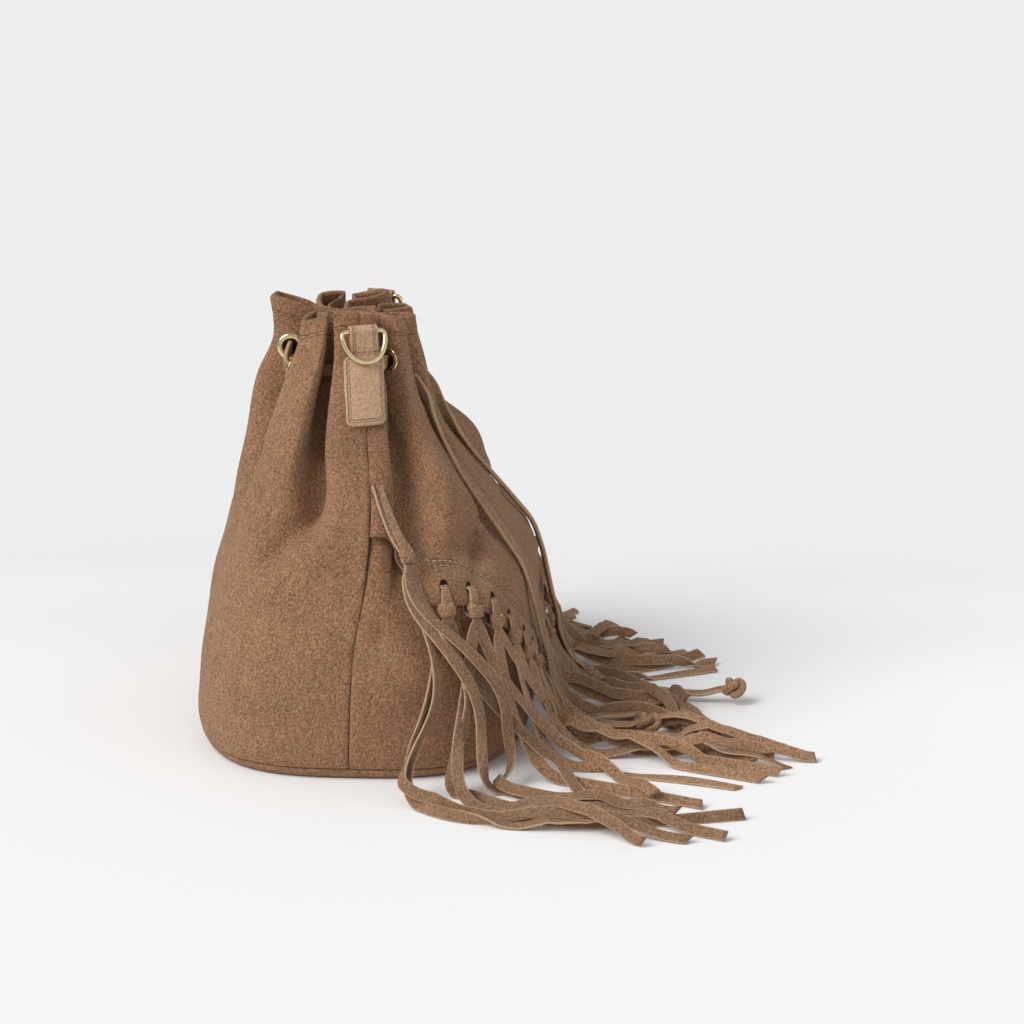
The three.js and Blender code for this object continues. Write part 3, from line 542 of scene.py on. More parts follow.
def thick_sheet(middle, thick):
    """Closed sheet round a middle surface: both faces lie half a thickness off it along its normal,
    thinner in the outermost rows and columns so that the border is round."""
    across = np.gradient(middle, axis=1)
    along = np.gradient(middle, axis=0)
    normal = unit(np.cross(across, along))
    rows, columns = middle.shape[:2]
    column = np.minimum(np.arange(columns), np.arange(columns)[::-1])
    row = np.minimum(np.arange(rows), np.arange(rows)[::-1])
    share = np.interp(np.minimum(column[None], row[:, None]), [0, 1, 2], [0.3, 0.8, 1])
    offset = normal * (share * thick / 2)[..., None]
    return np.concatenate([middle + offset, (middle - offset)[:, ::-1]], axis=1)


class Piece:
    """Gathers closed surfaces, in mm, and writes them as one mesh, in metres."""

    def __init__(self, name):
        self.name = name
        self.parts = []

    def surface(self, points, wrap_rows=False, wrap_columns=True, marks=None):
        """Quads over a grid of points that closes on itself one way or both, with open ends capped."""
        rows, columns = points.shape[:2]
        index = np.arange(rows * columns).reshape(rows, columns)
        if wrap_rows:
            index = np.vstack([index, index[:1]])
        if wrap_columns:
            index = np.hstack([index, index[:, :1]])
        quads = np.stack([index[:-1, :-1], index[:-1, 1:], index[1:, 1:], index[1:, :-1]], -1).reshape(-1, 4)
        flat = points.reshape(-1, 3)
        caps = []
        if wrap_columns and not wrap_rows:
            caps = [index[0, :-1][::-1], index[-1, :-1]]
        if wrap_rows and not wrap_columns:
            caps = [index[:-1, 0], index[:-1, -1][::-1]]
        corner = flat[quads] - flat.mean(axis=0)
        volume = np.sum(corner[:, 0] * np.cross(corner[:, 1], corner[:, 2]))
        volume += np.sum(corner[:, 0] * np.cross(corner[:, 2], corner[:, 3]))
        if volume < 0:
            quads = quads[:, ::-1]
            caps = [cap[::-1] for cap in caps]
        flat_marks = {key: np.ravel(value) for key, value in (marks or {}).items()}
        self.parts.append((flat, quads, caps, flat_marks))
        return self

    def make(self, material, slot, nodes=(), body="bag"):
        """Writes the mesh, gives it its material, and hangs it on its body in place of its CAD nodes."""
        starts = np.cumsum([0] + [len(part[0]) for part in self.parts])
        points = np.vstack([part[0] for part in self.parts]) * MM
        corners, sizes = [], []
        for (_, quads, caps, _), start in zip(self.parts, starts):
            corners += [quads.ravel() + start] + [cap + start for cap in caps]
            sizes += [np.full(len(quads), 4)] + [np.array([len(cap)]) for cap in caps]
        corners = np.concatenate(corners).astype(np.int32)
        sizes = np.concatenate(sizes).astype(np.int32)
        mesh = bpy.data.meshes.new(self.name)
        mesh.vertices.add(len(points))
        mesh.vertices.foreach_set("co", points.astype(np.float32).ravel())
        mesh.loops.add(len(corners))
        mesh.loops.foreach_set("vertex_index", corners)
        mesh.polygons.add(len(sizes))
        loop_starts = np.concatenate([[0], np.cumsum(sizes)[:-1]])
        mesh.polygons.foreach_set("loop_start", loop_starts.astype(np.int32))
        mesh.polygons.foreach_set("use_smooth", sizes == 4)
        mesh.update(calc_edges=True)
        for key in sorted({key for part in self.parts for key in part[3]}):
            values = [part[3].get(key, np.zeros(len(part[0]))) for part in self.parts]
            attribute = mesh.attributes.new(key, "FLOAT", "POINT")
            attribute.data.foreach_set("value", np.concatenate(values).astype(np.float32))
        mesh.validate()
        made = bpy.data.objects.new(self.name, mesh)
        bpy.context.scene.collection.objects.link(made)
        mesh.materials.append(material)
        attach(made, body)
        if nodes:
            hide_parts(*nodes)
        return made


class Value:
    """A shader's number, colour or vector. Arithmetic on it adds Math nodes."""

    def __init__(self, tree, socket=None):
        self.tree = tree
        self.socket = socket

    def node(self, kind, settings=None, sockets=None, take=0):
        """Adds a node of a type, sets it up, then fills its sockets with numbers or other values."""
        made = self.tree.nodes.new(kind)
        for key, value in (settings or {}).items():
            if key == "stops":
                ramp = made.color_ramp
                while len(ramp.elements) < len(value):
                    ramp.elements.new(0.5)
                for element, (place, colour) in zip(ramp.elements, value):
                    element.position = place
                    element.color = colour
            else:
                setattr(made, key, value)
        for key, value in (sockets or {}).items():
            if isinstance(value, Value):
                self.tree.links.new(value.socket, made.inputs[key])
            else:
                made.inputs[key].default_value = value
        return Value(self.tree, made.outputs[take] if made.outputs else None)

    def maths(self, operation, *values):
        """One Math node."""
        return self.node("ShaderNodeMath", {"operation": operation}, dict(enumerate(values)))

    def __add__(self, other):
        return self.maths("ADD", self, other)

    def __radd__(self, other):
        return self.maths("ADD", other, self)

    def __sub__(self, other):
        return self.maths("SUBTRACT", self, other)

    def __rsub__(self, other):
        return self.maths("SUBTRACT", other, self)

    def __mul__(self, other):
        return self.maths("MULTIPLY", self, other)

    def __rmul__(self, other):
        return self.maths("MULTIPLY", other, self)

    def __truediv__(self, other):
        return self.maths("DIVIDE", self, other)

    def __abs__(self):
        return self.maths("ABSOLUTE", self)

    def between(self, low, high):
        """0 below low, 1 above high and a smooth step between."""
        return self.node(
            "ShaderNodeMapRange", {"interpolation_type": "SMOOTHSTEP"},
            {"Value": self, "From Min": low, "From Max": high},
        )

    def part(self):
        """What is left after the whole number."""
        return self.maths("FRACT", self)


def tint(colour, share):
    """A colour made lighter (above 1) or darker (below 1)."""
    return tuple(min(1.0, channel * share) for channel in colour[:3]) + (1.0,)


def start_material(name):
    """An empty node material, and a value to start its nodes from."""
    material = bpy.data.materials.new(name)
    material.use_nodes = True
    tree = material.node_tree
    tree.nodes.clear()
    return material, Value(tree)


def finish_material(start, shader):
    """Joins a shader to the material's output."""
    start.node("ShaderNodeOutputMaterial", None, {"Surface": shader})


def blend_colours(start, share, first, second):
    """The first colour, going over to the second by a share."""
    return start.node("ShaderNodeMix", {"data_type": "RGBA"}, {0: share, 6: first, 7: second}, 2)


def noise(start, scale, detail=2.0, roughness=0.5, stretch=None):
    """Soft random light and dark in the object's own space, with its scale per metre."""
    place = start.node("ShaderNodeTexCoord", None, None, "Object")
    if stretch:
        place = start.node("ShaderNodeMapping", None, {"Vector": place, "Scale": stretch})
    sockets = {"Vector": place, "Scale": scale, "Detail": detail, "Roughness": roughness}
    return start.node("ShaderNodeTexNoise", None, sockets, "Fac")


def mark(start, name):
    """A value that the mesh carries."""
    return start.node("ShaderNodeAttribute", {"attribute_name": name}, None, "Fac")


def dashes(run, pitch, share=0.62):
    """1 on each stitch of a row and 0 between them, by the distance along it."""
    return 1 - abs((run / pitch).part() - 0.5).between(share / 2 - 0.05, share / 2 + 0.03)


def row(distance, at, half):
    """1 within half a width of a line."""
    return 1 - abs(distance - at).between(half * 0.6, half * 1.3)


def suede(name, colour, thread, stitches=(), holes=False, eyelets=False, cut_edges=False, strap=False,
          mottled=2.0):
    """Suede: a fine speckled nap over faint brushed mottling, with stitches and paler cut edges where asked,
    and painted shade where asked: darker stitch grooves and drawcord crease, and near black openings for the
    lacing holes and eyelets."""
    material, start = start_material(name)
    slow = noise(start, 34, 3.0, 0.6)
    brushed = noise(start, 210, 3.0, 0.6, (1.0, 1.0, 0.45))
    nap = noise(start, 760, 3.0, 0.75)
    grain = noise(start, 1500, 2.0, 0.7)
    light = (0.14 * slow + 0.16 * brushed + 1.0 * nap + 0.8 * grain - 1.05) * mottled + 0.5
    shades = [(0.14, 0.52), (0.4, 0.84), (0.6, 1.1), (0.86, 1.6)]
    stops = [(place, tint(colour, share)) for place, share in shades]
    face = start.node("ShaderNodeValToRGB", {"stops": stops}, {"Fac": light})
    height = 0.4 * brushed + 1.1 * nap + 0.7 * grain
    if cut_edges:
        face = blend_colours(start, mark(start, "tone") * 0.62, face, tint(colour, 0.36))
        border = abs(mark(start, "across")).between(0.8, 0.93)
        pale = (0.8 * border + 0.3 * mark(start, "edge")) * (0.35 + 0.75 * nap)
        face = blend_colours(start, pale, face, thread)
    if strap:
        across = abs(mark(start, "across"))
        seam = row(across, 0.72, 0.07) * dashes(mark(start, "run"), 2.6, 0.7)
        face = blend_colours(start, seam * 0.8, face, thread)
        # Painted shade: a darker tint along the drawcord's crease line, besides the groove in the bump.
        crease = row(across, 0.6, 0.06)
        face = blend_colours(start, crease * 0.35, face, tint(colour, 0.5))
        height = height - 0.8 * crease + 0.5 * seam
    for distance, at, run, pitch, strength in stitches:
        line = mark(start, distance)
        groove = row(line, at, 0.75)
        stitch = row(line, at, 0.42) * dashes(mark(start, run), pitch)
        # Painted shade: each stitch row's groove is darkened towards a darker tint of the suede, besides
        # being sunk by the bump.
        face = blend_colours(start, groove * 0.6 * strength, face, tint(colour, 0.55))
        face = blend_colours(start, stitch * strength, face, thread)
        height = height - 1.6 * groove + 1.9 * stitch
    if eyelets:
        # Painted shade: the leather inside each eyelet's hole is painted near black, as if open, and sunk by
        # the bump.
        inside = 1 - mark(start, "from_eyelet").between(3.9, 4.6)
        face = blend_colours(start, inside, face, PAINTED_OPENING_SHADE)
        height = height - 3 * inside
    if holes:
        # Painted shade: each lacing hole in the flap is painted near black, as if open, and sunk by the bump.
        beside = ((mark(start, "hole_run") + 0.5).part() - 0.5) * mark(start, "hole_pitch")
        above = mark(start, "above_holes") * 0.8
        away = start.maths("SQRT", beside * beside + above * above)
        past_last = abs(mark(start, "hole_run")).between(HOLES_EACH_SIDE + 0.3, HOLES_EACH_SIDE + 0.5)
        open_here = (1 - away.between(1.7, 2.4)) * (1 - past_last)
        face = blend_colours(start, open_here, face, PAINTED_OPENING_SHADE)
        height = height - 3 * open_here
    bump = start.node("ShaderNodeBump", None, {"Strength": 0.8, "Distance": 0.0012, "Height": height})
    shader = start.node("ShaderNodeBsdfPrincipled", None, {
        "Base Color": face, "Roughness": 0.95, "Normal": bump, "Specular IOR Level": 0.12,
        "Sheen Weight": 0.16, "Sheen Roughness": 0.45, "Sheen Tint": (0.93, 0.8, 0.68, 1),
    })
    finish_material(start, shader)
    return material


def gold(name, colour):
    """Polished pale gold with faint rub marks."""
    material, start = start_material(name)
    rubbed = noise(start, 420, 2.0, 0.5)
    rough = 0.09 + 0.16 * rubbed.between(0.45, 0.75)
    face = blend_colours(start, rubbed.between(0.3, 0.8), tint(colour, 0.93), tint(colour, 1.04))
    bump = start.node("ShaderNodeBump", None, {"Strength": 0.12, "Distance": 0.0002, "Height": rubbed})
    shader = start.node("ShaderNodeBsdfPrincipled", None, {
        "Base Color": face, "Roughness": rough, "Metallic": 1.0, "Normal": bump,
    })
    finish_material(start, shader)
    return material


def linear(red, green, blue):
    """A colour written as in a photograph (0 to 255), as linear light."""
    shares = np.array([red, green, blue]) / 255
    return tuple(np.where(shares <= 0.04045, shares / 12.92, ((shares + 0.055) / 1.055) ** 2.4))


class BagSizes(bpy.types.PropertyGroup):
    """Sizes that the pieces share."""

    suede_thick: bpy.props.FloatProperty(
        name="Suede", description="Thickness of the panels", default=1.7 * MM, unit="LENGTH", precision=5)
    tab_thick: bpy.props.FloatProperty(
        name="Tab", description="Thickness of the ring tabs", default=1.6 * MM, unit="LENGTH", precision=5)
    lace_width: bpy.props.FloatProperty(
        name="Lace width", description="Width of a fringe strand",
        default=6.2 * MM, unit="LENGTH", precision=5)
    lace_thick: bpy.props.FloatProperty(
        name="Lace thickness", description="Thickness of a fringe strand",
        default=1.3 * MM, unit="LENGTH", precision=5)
    cord_width: bpy.props.FloatProperty(
        name="Cord width", description="Width of the drawcord", default=6.6 * MM, unit="LENGTH", precision=5)
    cord_thick: bpy.props.FloatProperty(
        name="Cord thickness", description="Thickness of the drawcord",
        default=2.4 * MM, unit="LENGTH", precision=5)
    ring_wire: bpy.props.FloatProperty(
        name="Ring wire", description="Wire of the side rings", default=2.6 * MM, unit="LENGTH", precision=5)
    eyelet_flange: bpy.props.FloatProperty(
        name="Eyelet", description="Outer radius of an eyelet", default=7 * MM, unit="LENGTH", precision=5)


class BagColours(bpy.types.PropertyGroup):
    """Colours of the finishes."""

    panel: bpy.props.FloatVectorProperty(
        name="Panels", description="Suede of the panels", subtype="COLOR", default=linear(153, 115, 86))
    # Lace suede is lighter than the panels' suede. This is partly painted light, standing for the top light
    # on the strands that lie on the ground, and partly makes up for the strands' random darker tones.
    lace: bpy.props.FloatVectorProperty(
        name="Laces", description="Suede of the laces and the drawcord",
        subtype="COLOR", default=linear(170, 133, 103))
    tab: bpy.props.FloatVectorProperty(
        name="Tabs", description="Suede of the ring tabs", subtype="COLOR", default=linear(203, 166, 135))
    thread: bpy.props.FloatVectorProperty(
        name="Thread", description="Sewing thread", subtype="COLOR", default=linear(208, 174, 140))
    gold: bpy.props.FloatVectorProperty(
        name="Gold", description="Rings and eyelets", subtype="COLOR", default=linear(236, 214, 170))


def sizes():
    """The bag's sizes in this scene."""
    return bpy.context.scene.bag_sizes


def colour(name):
    """One of the bag's colours, with full alpha."""
    return tuple(getattr(bpy.context.scene.bag_colours, name)) + (1.0,)


def finish(name):
    """The material of that name, made the first time that a piece asks for it."""
    known = bpy.data.materials.get(name)
    if known:
        return known
    panel, lace, tab, thread = colour("panel"), colour("lace"), colour("tab"), colour("thread")
    hem = ("below_rim", 8.6, "run_rim", 3.3, 0.55)
    flap = ("above_holes", 11.5, "run_low", 3.4, 0.9)
    flap_low = ("above_holes", 9.2, "run_low", 3.4, 0.6)
    return {
        "flap_nap": lambda: suede(name, panel, thread, [hem, flap, flap_low], holes=True, eyelets=True),
        "panel_nap": lambda: suede(name, panel, thread, [hem], eyelets=True),
        "wall_nap": lambda: suede(name, panel, thread),
        "base_nap": lambda: suede(name, panel, thread),
        "tab_nap": lambda: suede(name, tab, thread, [
            ("tab_edge", 2.1, "tab_run", 3.0, 0.5), ("tab_bar", 0.0, "tab_across", 2.9, 0.6)], mottled=1.0),
        "lace_nap": lambda: suede(name, lace, thread, cut_edges=True),
        "cord_nap": lambda: suede(name, lace, thread, cut_edges=True, strap=True),
        "polished_gold": lambda: gold(name, colour("gold")),
    }[name]()


def eyelet_seats():
    """Each eyelet sits halfway up the flank of its gather, square to the leather."""
    seats = []
    for hand in (-1, 1):
        for gather, side, z in EYELET_SEATS:
            at, ahead, behind = valley(GATHERS[gather], z)
            t = float(at + 0.5 * (-ahead if side < 0 else behind))
            point, _, _, out, _ = shell_frame(np.float64(hand * t), np.float64(z))
            middle = point - out * (sizes().suede_thick / MM / 2)
            seats.append({"hand": hand, "t": t, "gather": gather, "middle": middle, "axis": out})
    return seats


def cord_sides(path, upto):
    """Side direction of a drawcord: level across the path, and on edge at first, easing flat over its
    first steps."""
    forward = unit(np.gradient(path, axis=0))
    level = np.stack([-forward[:, 1], forward[:, 0], 0 * forward[:, 0]], -1)
    size = np.linalg.norm(level, axis=1)
    known = np.flatnonzero(size >= 0.35)
    nearest = known[np.clip(np.searchsorted(known, np.arange(len(path)), side="right") - 1, 0, None)]
    level = unit(level[nearest])
    lean = (np.pi / 2) * (1 - ease(np.arange(len(path)) / upto))
    return rolled(path, level, -lean)


def end_route(seat, floor):
    """A free end of the drawcord: out of its eyelet, down the groove of the front gather, over the flap
    edge and the fringe, and along the ground. Each fall point lies off the shell along its radius."""
    hand = seat["hand"]
    t, z, lift = np.array(CORD_FALL).T
    level = np.maximum(z, BASE_HEIGHT)
    angle = turn(t, level)
    ahead = np.stack([hand * np.sin(angle), -np.cos(angle), 0 * angle], -1)
    fall = shell(hand * t, level) + ahead * lift[:, None]
    fall[:, 2] = z
    start = seat["middle"] + seat["axis"] * CORD_START
    return np.vstack([start, fall, floor])


def mouth_route(seats):
    """The drawcord's run: from the left front eyelet round the back to the right one, straight through
    each."""
    left = sorted((seat for seat in seats if seat["hand"] < 0), key=lambda seat: seat["t"])
    right = sorted((seat for seat in seats if seat["hand"] > 0), key=lambda seat: -seat["t"])
    centre = (rear_reach(200) - front_reach(200)) / 2
    route = []
    for seat in left + right:
        x, y, _ = seat["middle"]
        sense = np.sign(seat["axis"] @ np.array([y - centre, -x, 0])) or 1
        route += [seat["middle"] - seat["axis"] * sense * 4, seat["middle"] + seat["axis"] * sense * 4]
    for end, seat in ((0, left[0]), (-1, right[-1])):
        route[end] = seat["middle"] + seat["axis"] * (CORD_START + 0.6)
    return np.array(route)


def loop_forward(path):
    """Direction along a path that closes on itself."""
    return unit(np.roll(path, -1, axis=0) - np.roll(path, 1, axis=0))


def knot_surface(centre, radius, height):
    """A three-lobed knot: a round tube along a line that winds twice about the upright axis while it goes
    three times through the middle, flattened to fit the lump that stands for it."""
    turn_by = np.linspace(0, 2 * np.pi, 120, endpoint=False)
    reach = radius * (0.46 + 0.26 * np.cos(3 * turn_by))
    rise = 0.26 * radius * np.sin(3 * turn_by)
    line = np.stack([reach * np.cos(2 * turn_by), reach * np.sin(2 * turn_by), rise], -1)
    forward = loop_forward(line)
    side = unit(np.cross(forward, [0, 0, 1.0]))
    face = np.cross(forward, side)
    angle = np.linspace(0, 2 * np.pi, 14, endpoint=False)
    tube = radius * 0.3
    ring = side[:, None] * np.cos(angle)[None, :, None] + face[:, None] * np.sin(angle)[None, :, None] * 0.8
    points = line[:, None] + ring * tube
    points[..., 2] *= height / (0.52 * radius)
    return points + centre


def strand_spine(k, side, u, knot_height):
    """Control points of one fringe strand: it hangs down off the leather, drifting forward round the bag's
    corner, lands a little way out, and bends over the ground towards its tip."""
    t = abs(u)
    hand = np.sign(u) if u else (-1 if side == 0 else 1)
    outer = side % 2 == 1
    rng = np.random.default_rng(400 + 10 * (k + 10) + side)
    at_seam = abs(k) > HOLES_EACH_SIDE
    across = rng.uniform(0.2, 0.5) if outer else rng.uniform(1.1, 1.6)
    if outer and abs(k) >= 7:
        across = -0.5
    drift = SEAM_DRIFTS[side] if at_seam else 0.075 * ease((t - 0.1) / 0.2) * across
    reach = (26 + 18 * rng.random()) * (0.8 if at_seam else 1)
    share = FALL_SHARES
    lift = np.array(FALL_LIFTS + [part * reach for part in FALL_REACHES]) + (OUTER_LIFT if outer else 0)
    if at_seam:
        lift = lift + SEAM_LIFT
    along = ease((1 - share) * 1.05)
    heights = knot_height * share
    apart = np.interp(share, [0.07, 0.84, 0.96], [4, 3.2, 1.8]) * (1 if outer else -1)
    apart = apart + rng.uniform(-2.5, 2.5) * np.sin(np.pi * share)
    at = u - hand * (drift * along + (0.05 * np.sin(np.pi * share) ** 2 if at_seam else 0))
    point, direction, _, out, _ = shell_frame(at, np.maximum(heights, BASE_HEIGHT))
    flat = unit(out * [1, 1, 0])
    fall = point + flat * lift[:, None] + direction * (apart * hand)[:, None]
    fall[:, 2] = heights
    base, _, _, base_out, _ = shell_frame(np.float64(u - hand * drift), np.float64(BASE_HEIGHT))
    outward = unit(base_out * [1, 1, 0])
    landing = base + outward * reach
    tip = np.array([*TIPS[k][side], 0.0])
    detour = DETOURS.get((k, side))
    if detour:
        way = np.array([(x, y, 0.0) for x, y in detour])
        ground = np.vstack([way, tip])
    else:
        span = (tip - landing) * [1, 1, 0]
        bow = outward * np.linalg.norm(span) * 0.34
        s = np.array([0.24, 0.5, 0.76, 1.0])[:, None]
        ground = (1 - s) ** 2 * landing + 2 * s * (1 - s) * (landing + bow) + s ** 2 * tip
        across = unit(np.array([-span[1], span[0], 0]))
        wave = np.sin(2 * np.pi * (s * rng.uniform(0.5, 0.9) + rng.random())) * (1 + 2.6 * rng.random())
        ground = ground + across * wave
    ground[:, 2] = GROUND_LEVEL
    return np.vstack([fall, ground]), rng


class Pile:
    """Heights of the fringe that already lies on the ground, on a grid of cells."""

    cell = 1.5
    low = np.array([-240.0, -290.0])

    def __init__(self):
        self.top = np.zeros((320, 280))

    def cells(self, path, side, width):
        """The cells that lie under each point of a strand, across its width."""
        offsets = np.linspace(-0.55, 0.55, 7)[None, :, None] * width
        spots = path[:, None, :2] + side[:, None, :2] * offsets
        where = ((spots - self.low) / self.cell).astype(int)
        return np.clip(where[..., 0], 0, 319), np.clip(where[..., 1], 0, 279)

    def lay(self, path, side, width, half):
        """Lifts a strand over what lies under it: each point to the pile's top there plus half the strand's
        height, and its neighbours along gentle ramps; then adds the strand to the pile."""
        cells = self.cells(path, side, width)
        needed = self.top[cells].max(axis=1) + half + 0.12
        step = np.linalg.norm(path[1] - path[0])
        lifted = needed.copy()
        for shift in range(1, 9):
            ramp = needed - 0.3 * shift * step
            lifted[shift:] = np.maximum(lifted[shift:], ramp[:-shift])
            lifted[:-shift] = np.maximum(lifted[:-shift], ramp[shift:])
        weights = np.array([1, 2, 3, 2, 1]) / 9
        soft = np.convolve(np.pad(lifted, 2, mode="edge"), weights, mode="valid")
        lifted = np.maximum(soft, needed)
        laid = path.copy()
        near = path[:, 2] < 26
        laid[near, 2] = np.maximum(path[near, 2], lifted[near])
        low = near & (laid[:, 2] < 12)
        spots = tuple(part[low] for part in cells)
        raised = laid[low, 2] + 0.5 * half[low]
        np.maximum.at(self.top, spots, np.broadcast_to(raised[:, None], spots[0].shape))
        return laid


def level_sides(path, along):
    """Level direction across a strand at each point. It turns steadily along the strand, and it starts on
    the same side as the given direction where the strand comes down to the ground."""
    level = unit(np.cross([0, 0, 1.0], np.gradient(path, axis=0)) + 1e-6)
    turns = np.where(np.sum(level[1:] * level[:-1], -1) < 0, -1.0, 1.0)
    sense = np.concatenate([[1.0], np.cumprod(turns)])
    start = int(np.argmax(path[:, 2] < 30))
    first = 1.0 if level[start] @ along >= 0 else -1.0
    return level * (sense * sense[start] * first)[:, None]


def knot_band(centre, along, out, up, tilt, wide, deep, tall):
    """A band tied round the strands: a flat strap carried round a tilted ellipse."""
    angle = np.linspace(0, 2 * np.pi, BAND_STEPS, endpoint=False)
    lean = along * np.cos(tilt) + up * np.sin(tilt)
    path = centre + lean * (np.cos(angle) * wide)[:, None] + out * (np.sin(angle) * deep)[:, None]
    side = unit(up * np.cos(tilt) - along * np.sin(tilt))
    face = np.cross(loop_forward(path), side)
    across = STRAP_OUTLINE[None, :, :1] * tall / 2
    return path[:, None] + side * across + face[:, None] * STRAP_OUTLINE[None, :, 1:] * 0.75


def add_knot(piece, frame, tilt):
    """A lace's knot: two bands round its strands."""
    centre, along, out, up = frame
    round_knot = np.linspace(0, 1, BAND_STEPS)[:, None] * np.ones(len(STRAP_OUTLINE))
    marks = {
        "run": round_knot * 22, "across": round_knot * 0 + STRAP_OUTLINE[:, 0],
        "edge": round_knot * 0 + (np.abs(STRAP_OUTLINE[:, 0]) > 0.95), "tone": round_knot * 0 + 0.3,
    }
    lower = knot_band(centre, along, out, up, tilt, 3.7, 2.0, 5.6)
    upper = knot_band(centre + up * 1.1, along, out, up, tilt - 0.5, 4.1, 2.3, 3.4)
    piece.surface(lower, True, True, marks)
    piece.surface(upper, True, True, marks)


def add_seam_loops(piece, frame, u, top):
    """The two strips that run from a seam lace's knot up into the side seam."""
    _, along, out, _ = frame
    hand = np.sign(u)
    stops = [
        (u, top + 1, KNOT_LIFT), (hand * 0.46, top + 9, 3.6), (hand * 0.475, top + 19, 3.4),
        (hand * 0.49, SEAM_LACE_TOP, 1.6),
    ]
    knots = np.array([off_shell(np.float64(a), np.float64(z), lift) for a, z, lift in stops])
    thick = sizes().lace_thick / MM
    count = SEAM_LOOP_POINTS
    for step, twist in ((-1, 0.5), (1, -0.6)):
        path = smooth_route(knots + along * step * 1.5 + out * step * 0.5, count)
        side = rolled(path, np.broadcast_to(along, path.shape), twist * np.linspace(0.2, 1.3, count))
        piece.surface(ribbon(path, side, np.linspace(5, 3.4, count), thick), marks=strap_marks(path, count))


def add_loop(piece, frame, u, top):
    """The strip that runs from a lace's knot up through its hole and down behind the flap."""
    along = frame[1]
    stops = [(1 - LACE_DROP, KNOT_LIFT), (-1.8, 3.7), (0.1, 1.7), (-1.3, -1.1), (-10.6, -1.2), (-12.8, 3.6)]
    knots = np.array([off_shell(np.float64(u), np.float64(top + rise), lift) for rise, lift in stops])
    path = smooth_route(knots, LOOP_POINTS)
    width_at = [(0, 6.2), (0.22, 5.2), (0.3, LACE_NECK), (0.4, LACE_NECK), (0.8, 5.6), (1, 6)]
    widths = np.interp(np.linspace(0, 1, LOOP_POINTS), *np.array(width_at).T)
    strip = ribbon(path, np.broadcast_to(along, path.shape), widths, sizes().lace_thick / MM)
    piece.surface(strip, marks=strap_marks(path, LOOP_POINTS))


def add_strand(piece, pile, frame, spine, rng, at_seam):
    """One strand: it leaves its knot at the spine's first point, hangs down flat to the bag, rolls and
    sways on its way over the ground, lies on the strands below it, and ends in a slanted tip."""
    along = frame[1]
    width, thick = sizes().lace_width / MM, sizes().lace_thick / MM
    path = spread_evenly(smoothed(smooth_route(spine, STRAND_POINTS), 4), STRAND_POINTS)
    share = np.linspace(0, 1, STRAND_POINTS)
    hang = ease((path[:, 2] - 5) / 34)[:, None]
    across = unit(mix(level_sides(path, along), along, hang))
    most = 0.22 if at_seam else rng.uniform(0.3, 0.8)
    sway = most * np.sin(2 * np.pi * (rng.uniform(0.8, 1.8) * share + rng.random()))
    lean = rng.uniform(0.25, 1.1)
    lean = lean + 0.3 * np.sin(2 * np.pi * (rng.uniform(0.6, 1.4) * share + rng.random()))
    roll = mix(lean, sway * ease(share * 6), hang[:, 0])
    if rng.random() < 0.3 and not at_seam:
        roll = roll + 2.4 * ease((share - rng.uniform(0.45, 0.8)) / 0.16)
    across = unit(smoothed(rolled(path, across, roll), 3))
    half = thick / 2 * np.abs(np.cos(roll)) + width / 2 * np.abs(np.sin(roll))
    path = pile.lay(path, across, width, half)
    uneven = 1 + 0.07 * np.sin(2 * np.pi * (3.3 * share + rng.random()))
    widths = width * uneven * np.interp(share, [0, 0.05, 1], [0.6, 1, 0.93])
    rings = ribbon(path, across, widths, thick)
    slant = rng.uniform(-0.9, 0.9)
    forward = unit(path[-1] - path[-3])
    for back, amount in ((1, 1.0), (2, 0.7), (3, 0.4), (4, 0.15)):
        rings[-back] += forward * (STRAP_OUTLINE[:, :1] * slant * amount * width / 2)
    piece.surface(rings, marks=strap_marks(path, STRAND_POINTS, rng.random()))


def lace_piece(k, pile):
    """One lace: its knot, the strip that holds it in the flap or the seam, and its strands."""
    at_seam = abs(k) > HOLES_EACH_SIDE
    u = np.sign(k) * SEAM_LACE if at_seam else k * HOLE_PITCH
    top = SEAM_LACE_KNOT if at_seam else float(hole_height(abs(u)))
    knot_height = top if at_seam else top - LACE_DROP
    name = "fringe_lace_middle" if k == 0 else f"fringe_lace_{'left' if k < 0 else 'right'}_{abs(k)}"
    piece = Piece(f"{name}_suede")
    point, along, up, out, _ = shell_frame(np.float64(u), np.float64(knot_height))
    frame = (point + out * KNOT_LIFT, along, out, up)
    add_knot(piece, frame, np.random.default_rng(90 + k).uniform(-0.22, 0.22))
    if at_seam:
        add_seam_loops(piece, frame, u, top)
    else:
        add_loop(piece, frame, u, top)
    for side in range(len(TIPS[k])):
        spine, rng = strand_spine(k, side, u, knot_height)
        start = frame[0] + along * KNOT_EXITS[side] - up * 1.5
        add_strand(piece, pile, frame, np.vstack([start, spine]), rng, at_seam)
    return piece.make(finish("lace_nap"), "lace_suede", [name])


def section_rows(low, high, thick, rows):
    """Closed section of a wall at each column: up the outer face, round the top edge in a half circle,
    down the inner face and round the bottom edge. Returns heights and depths behind the outer face."""
    half_top = thick(high) / 2
    half_low = thick(low) / 2
    share = np.linspace(0, 1, rows)[:, None]
    up = mix(low + half_low, high - half_top, share)
    arc = np.linspace(0, np.pi, 7)[1:-1, None]
    top_arc = high - half_top + half_top * np.sin(arc)
    low_arc = low + half_low - half_low * np.sin(arc)
    heights = [up, top_arc, up[::-1], low_arc]
    depths = [0 * up, half_top * (1 - np.cos(arc)), thick(up[::-1]), half_low * (1 + np.cos(arc))]
    return np.vstack(heights), np.vstack(depths)


def arc_length(u, z):
    """Distance along a row of the shell, from the row's middle."""
    points = shell(u, z)
    run = np.concatenate([[0], np.cumsum(np.linalg.norm(np.diff(points, axis=0), axis=1))])
    return run - run[len(run) // 2]


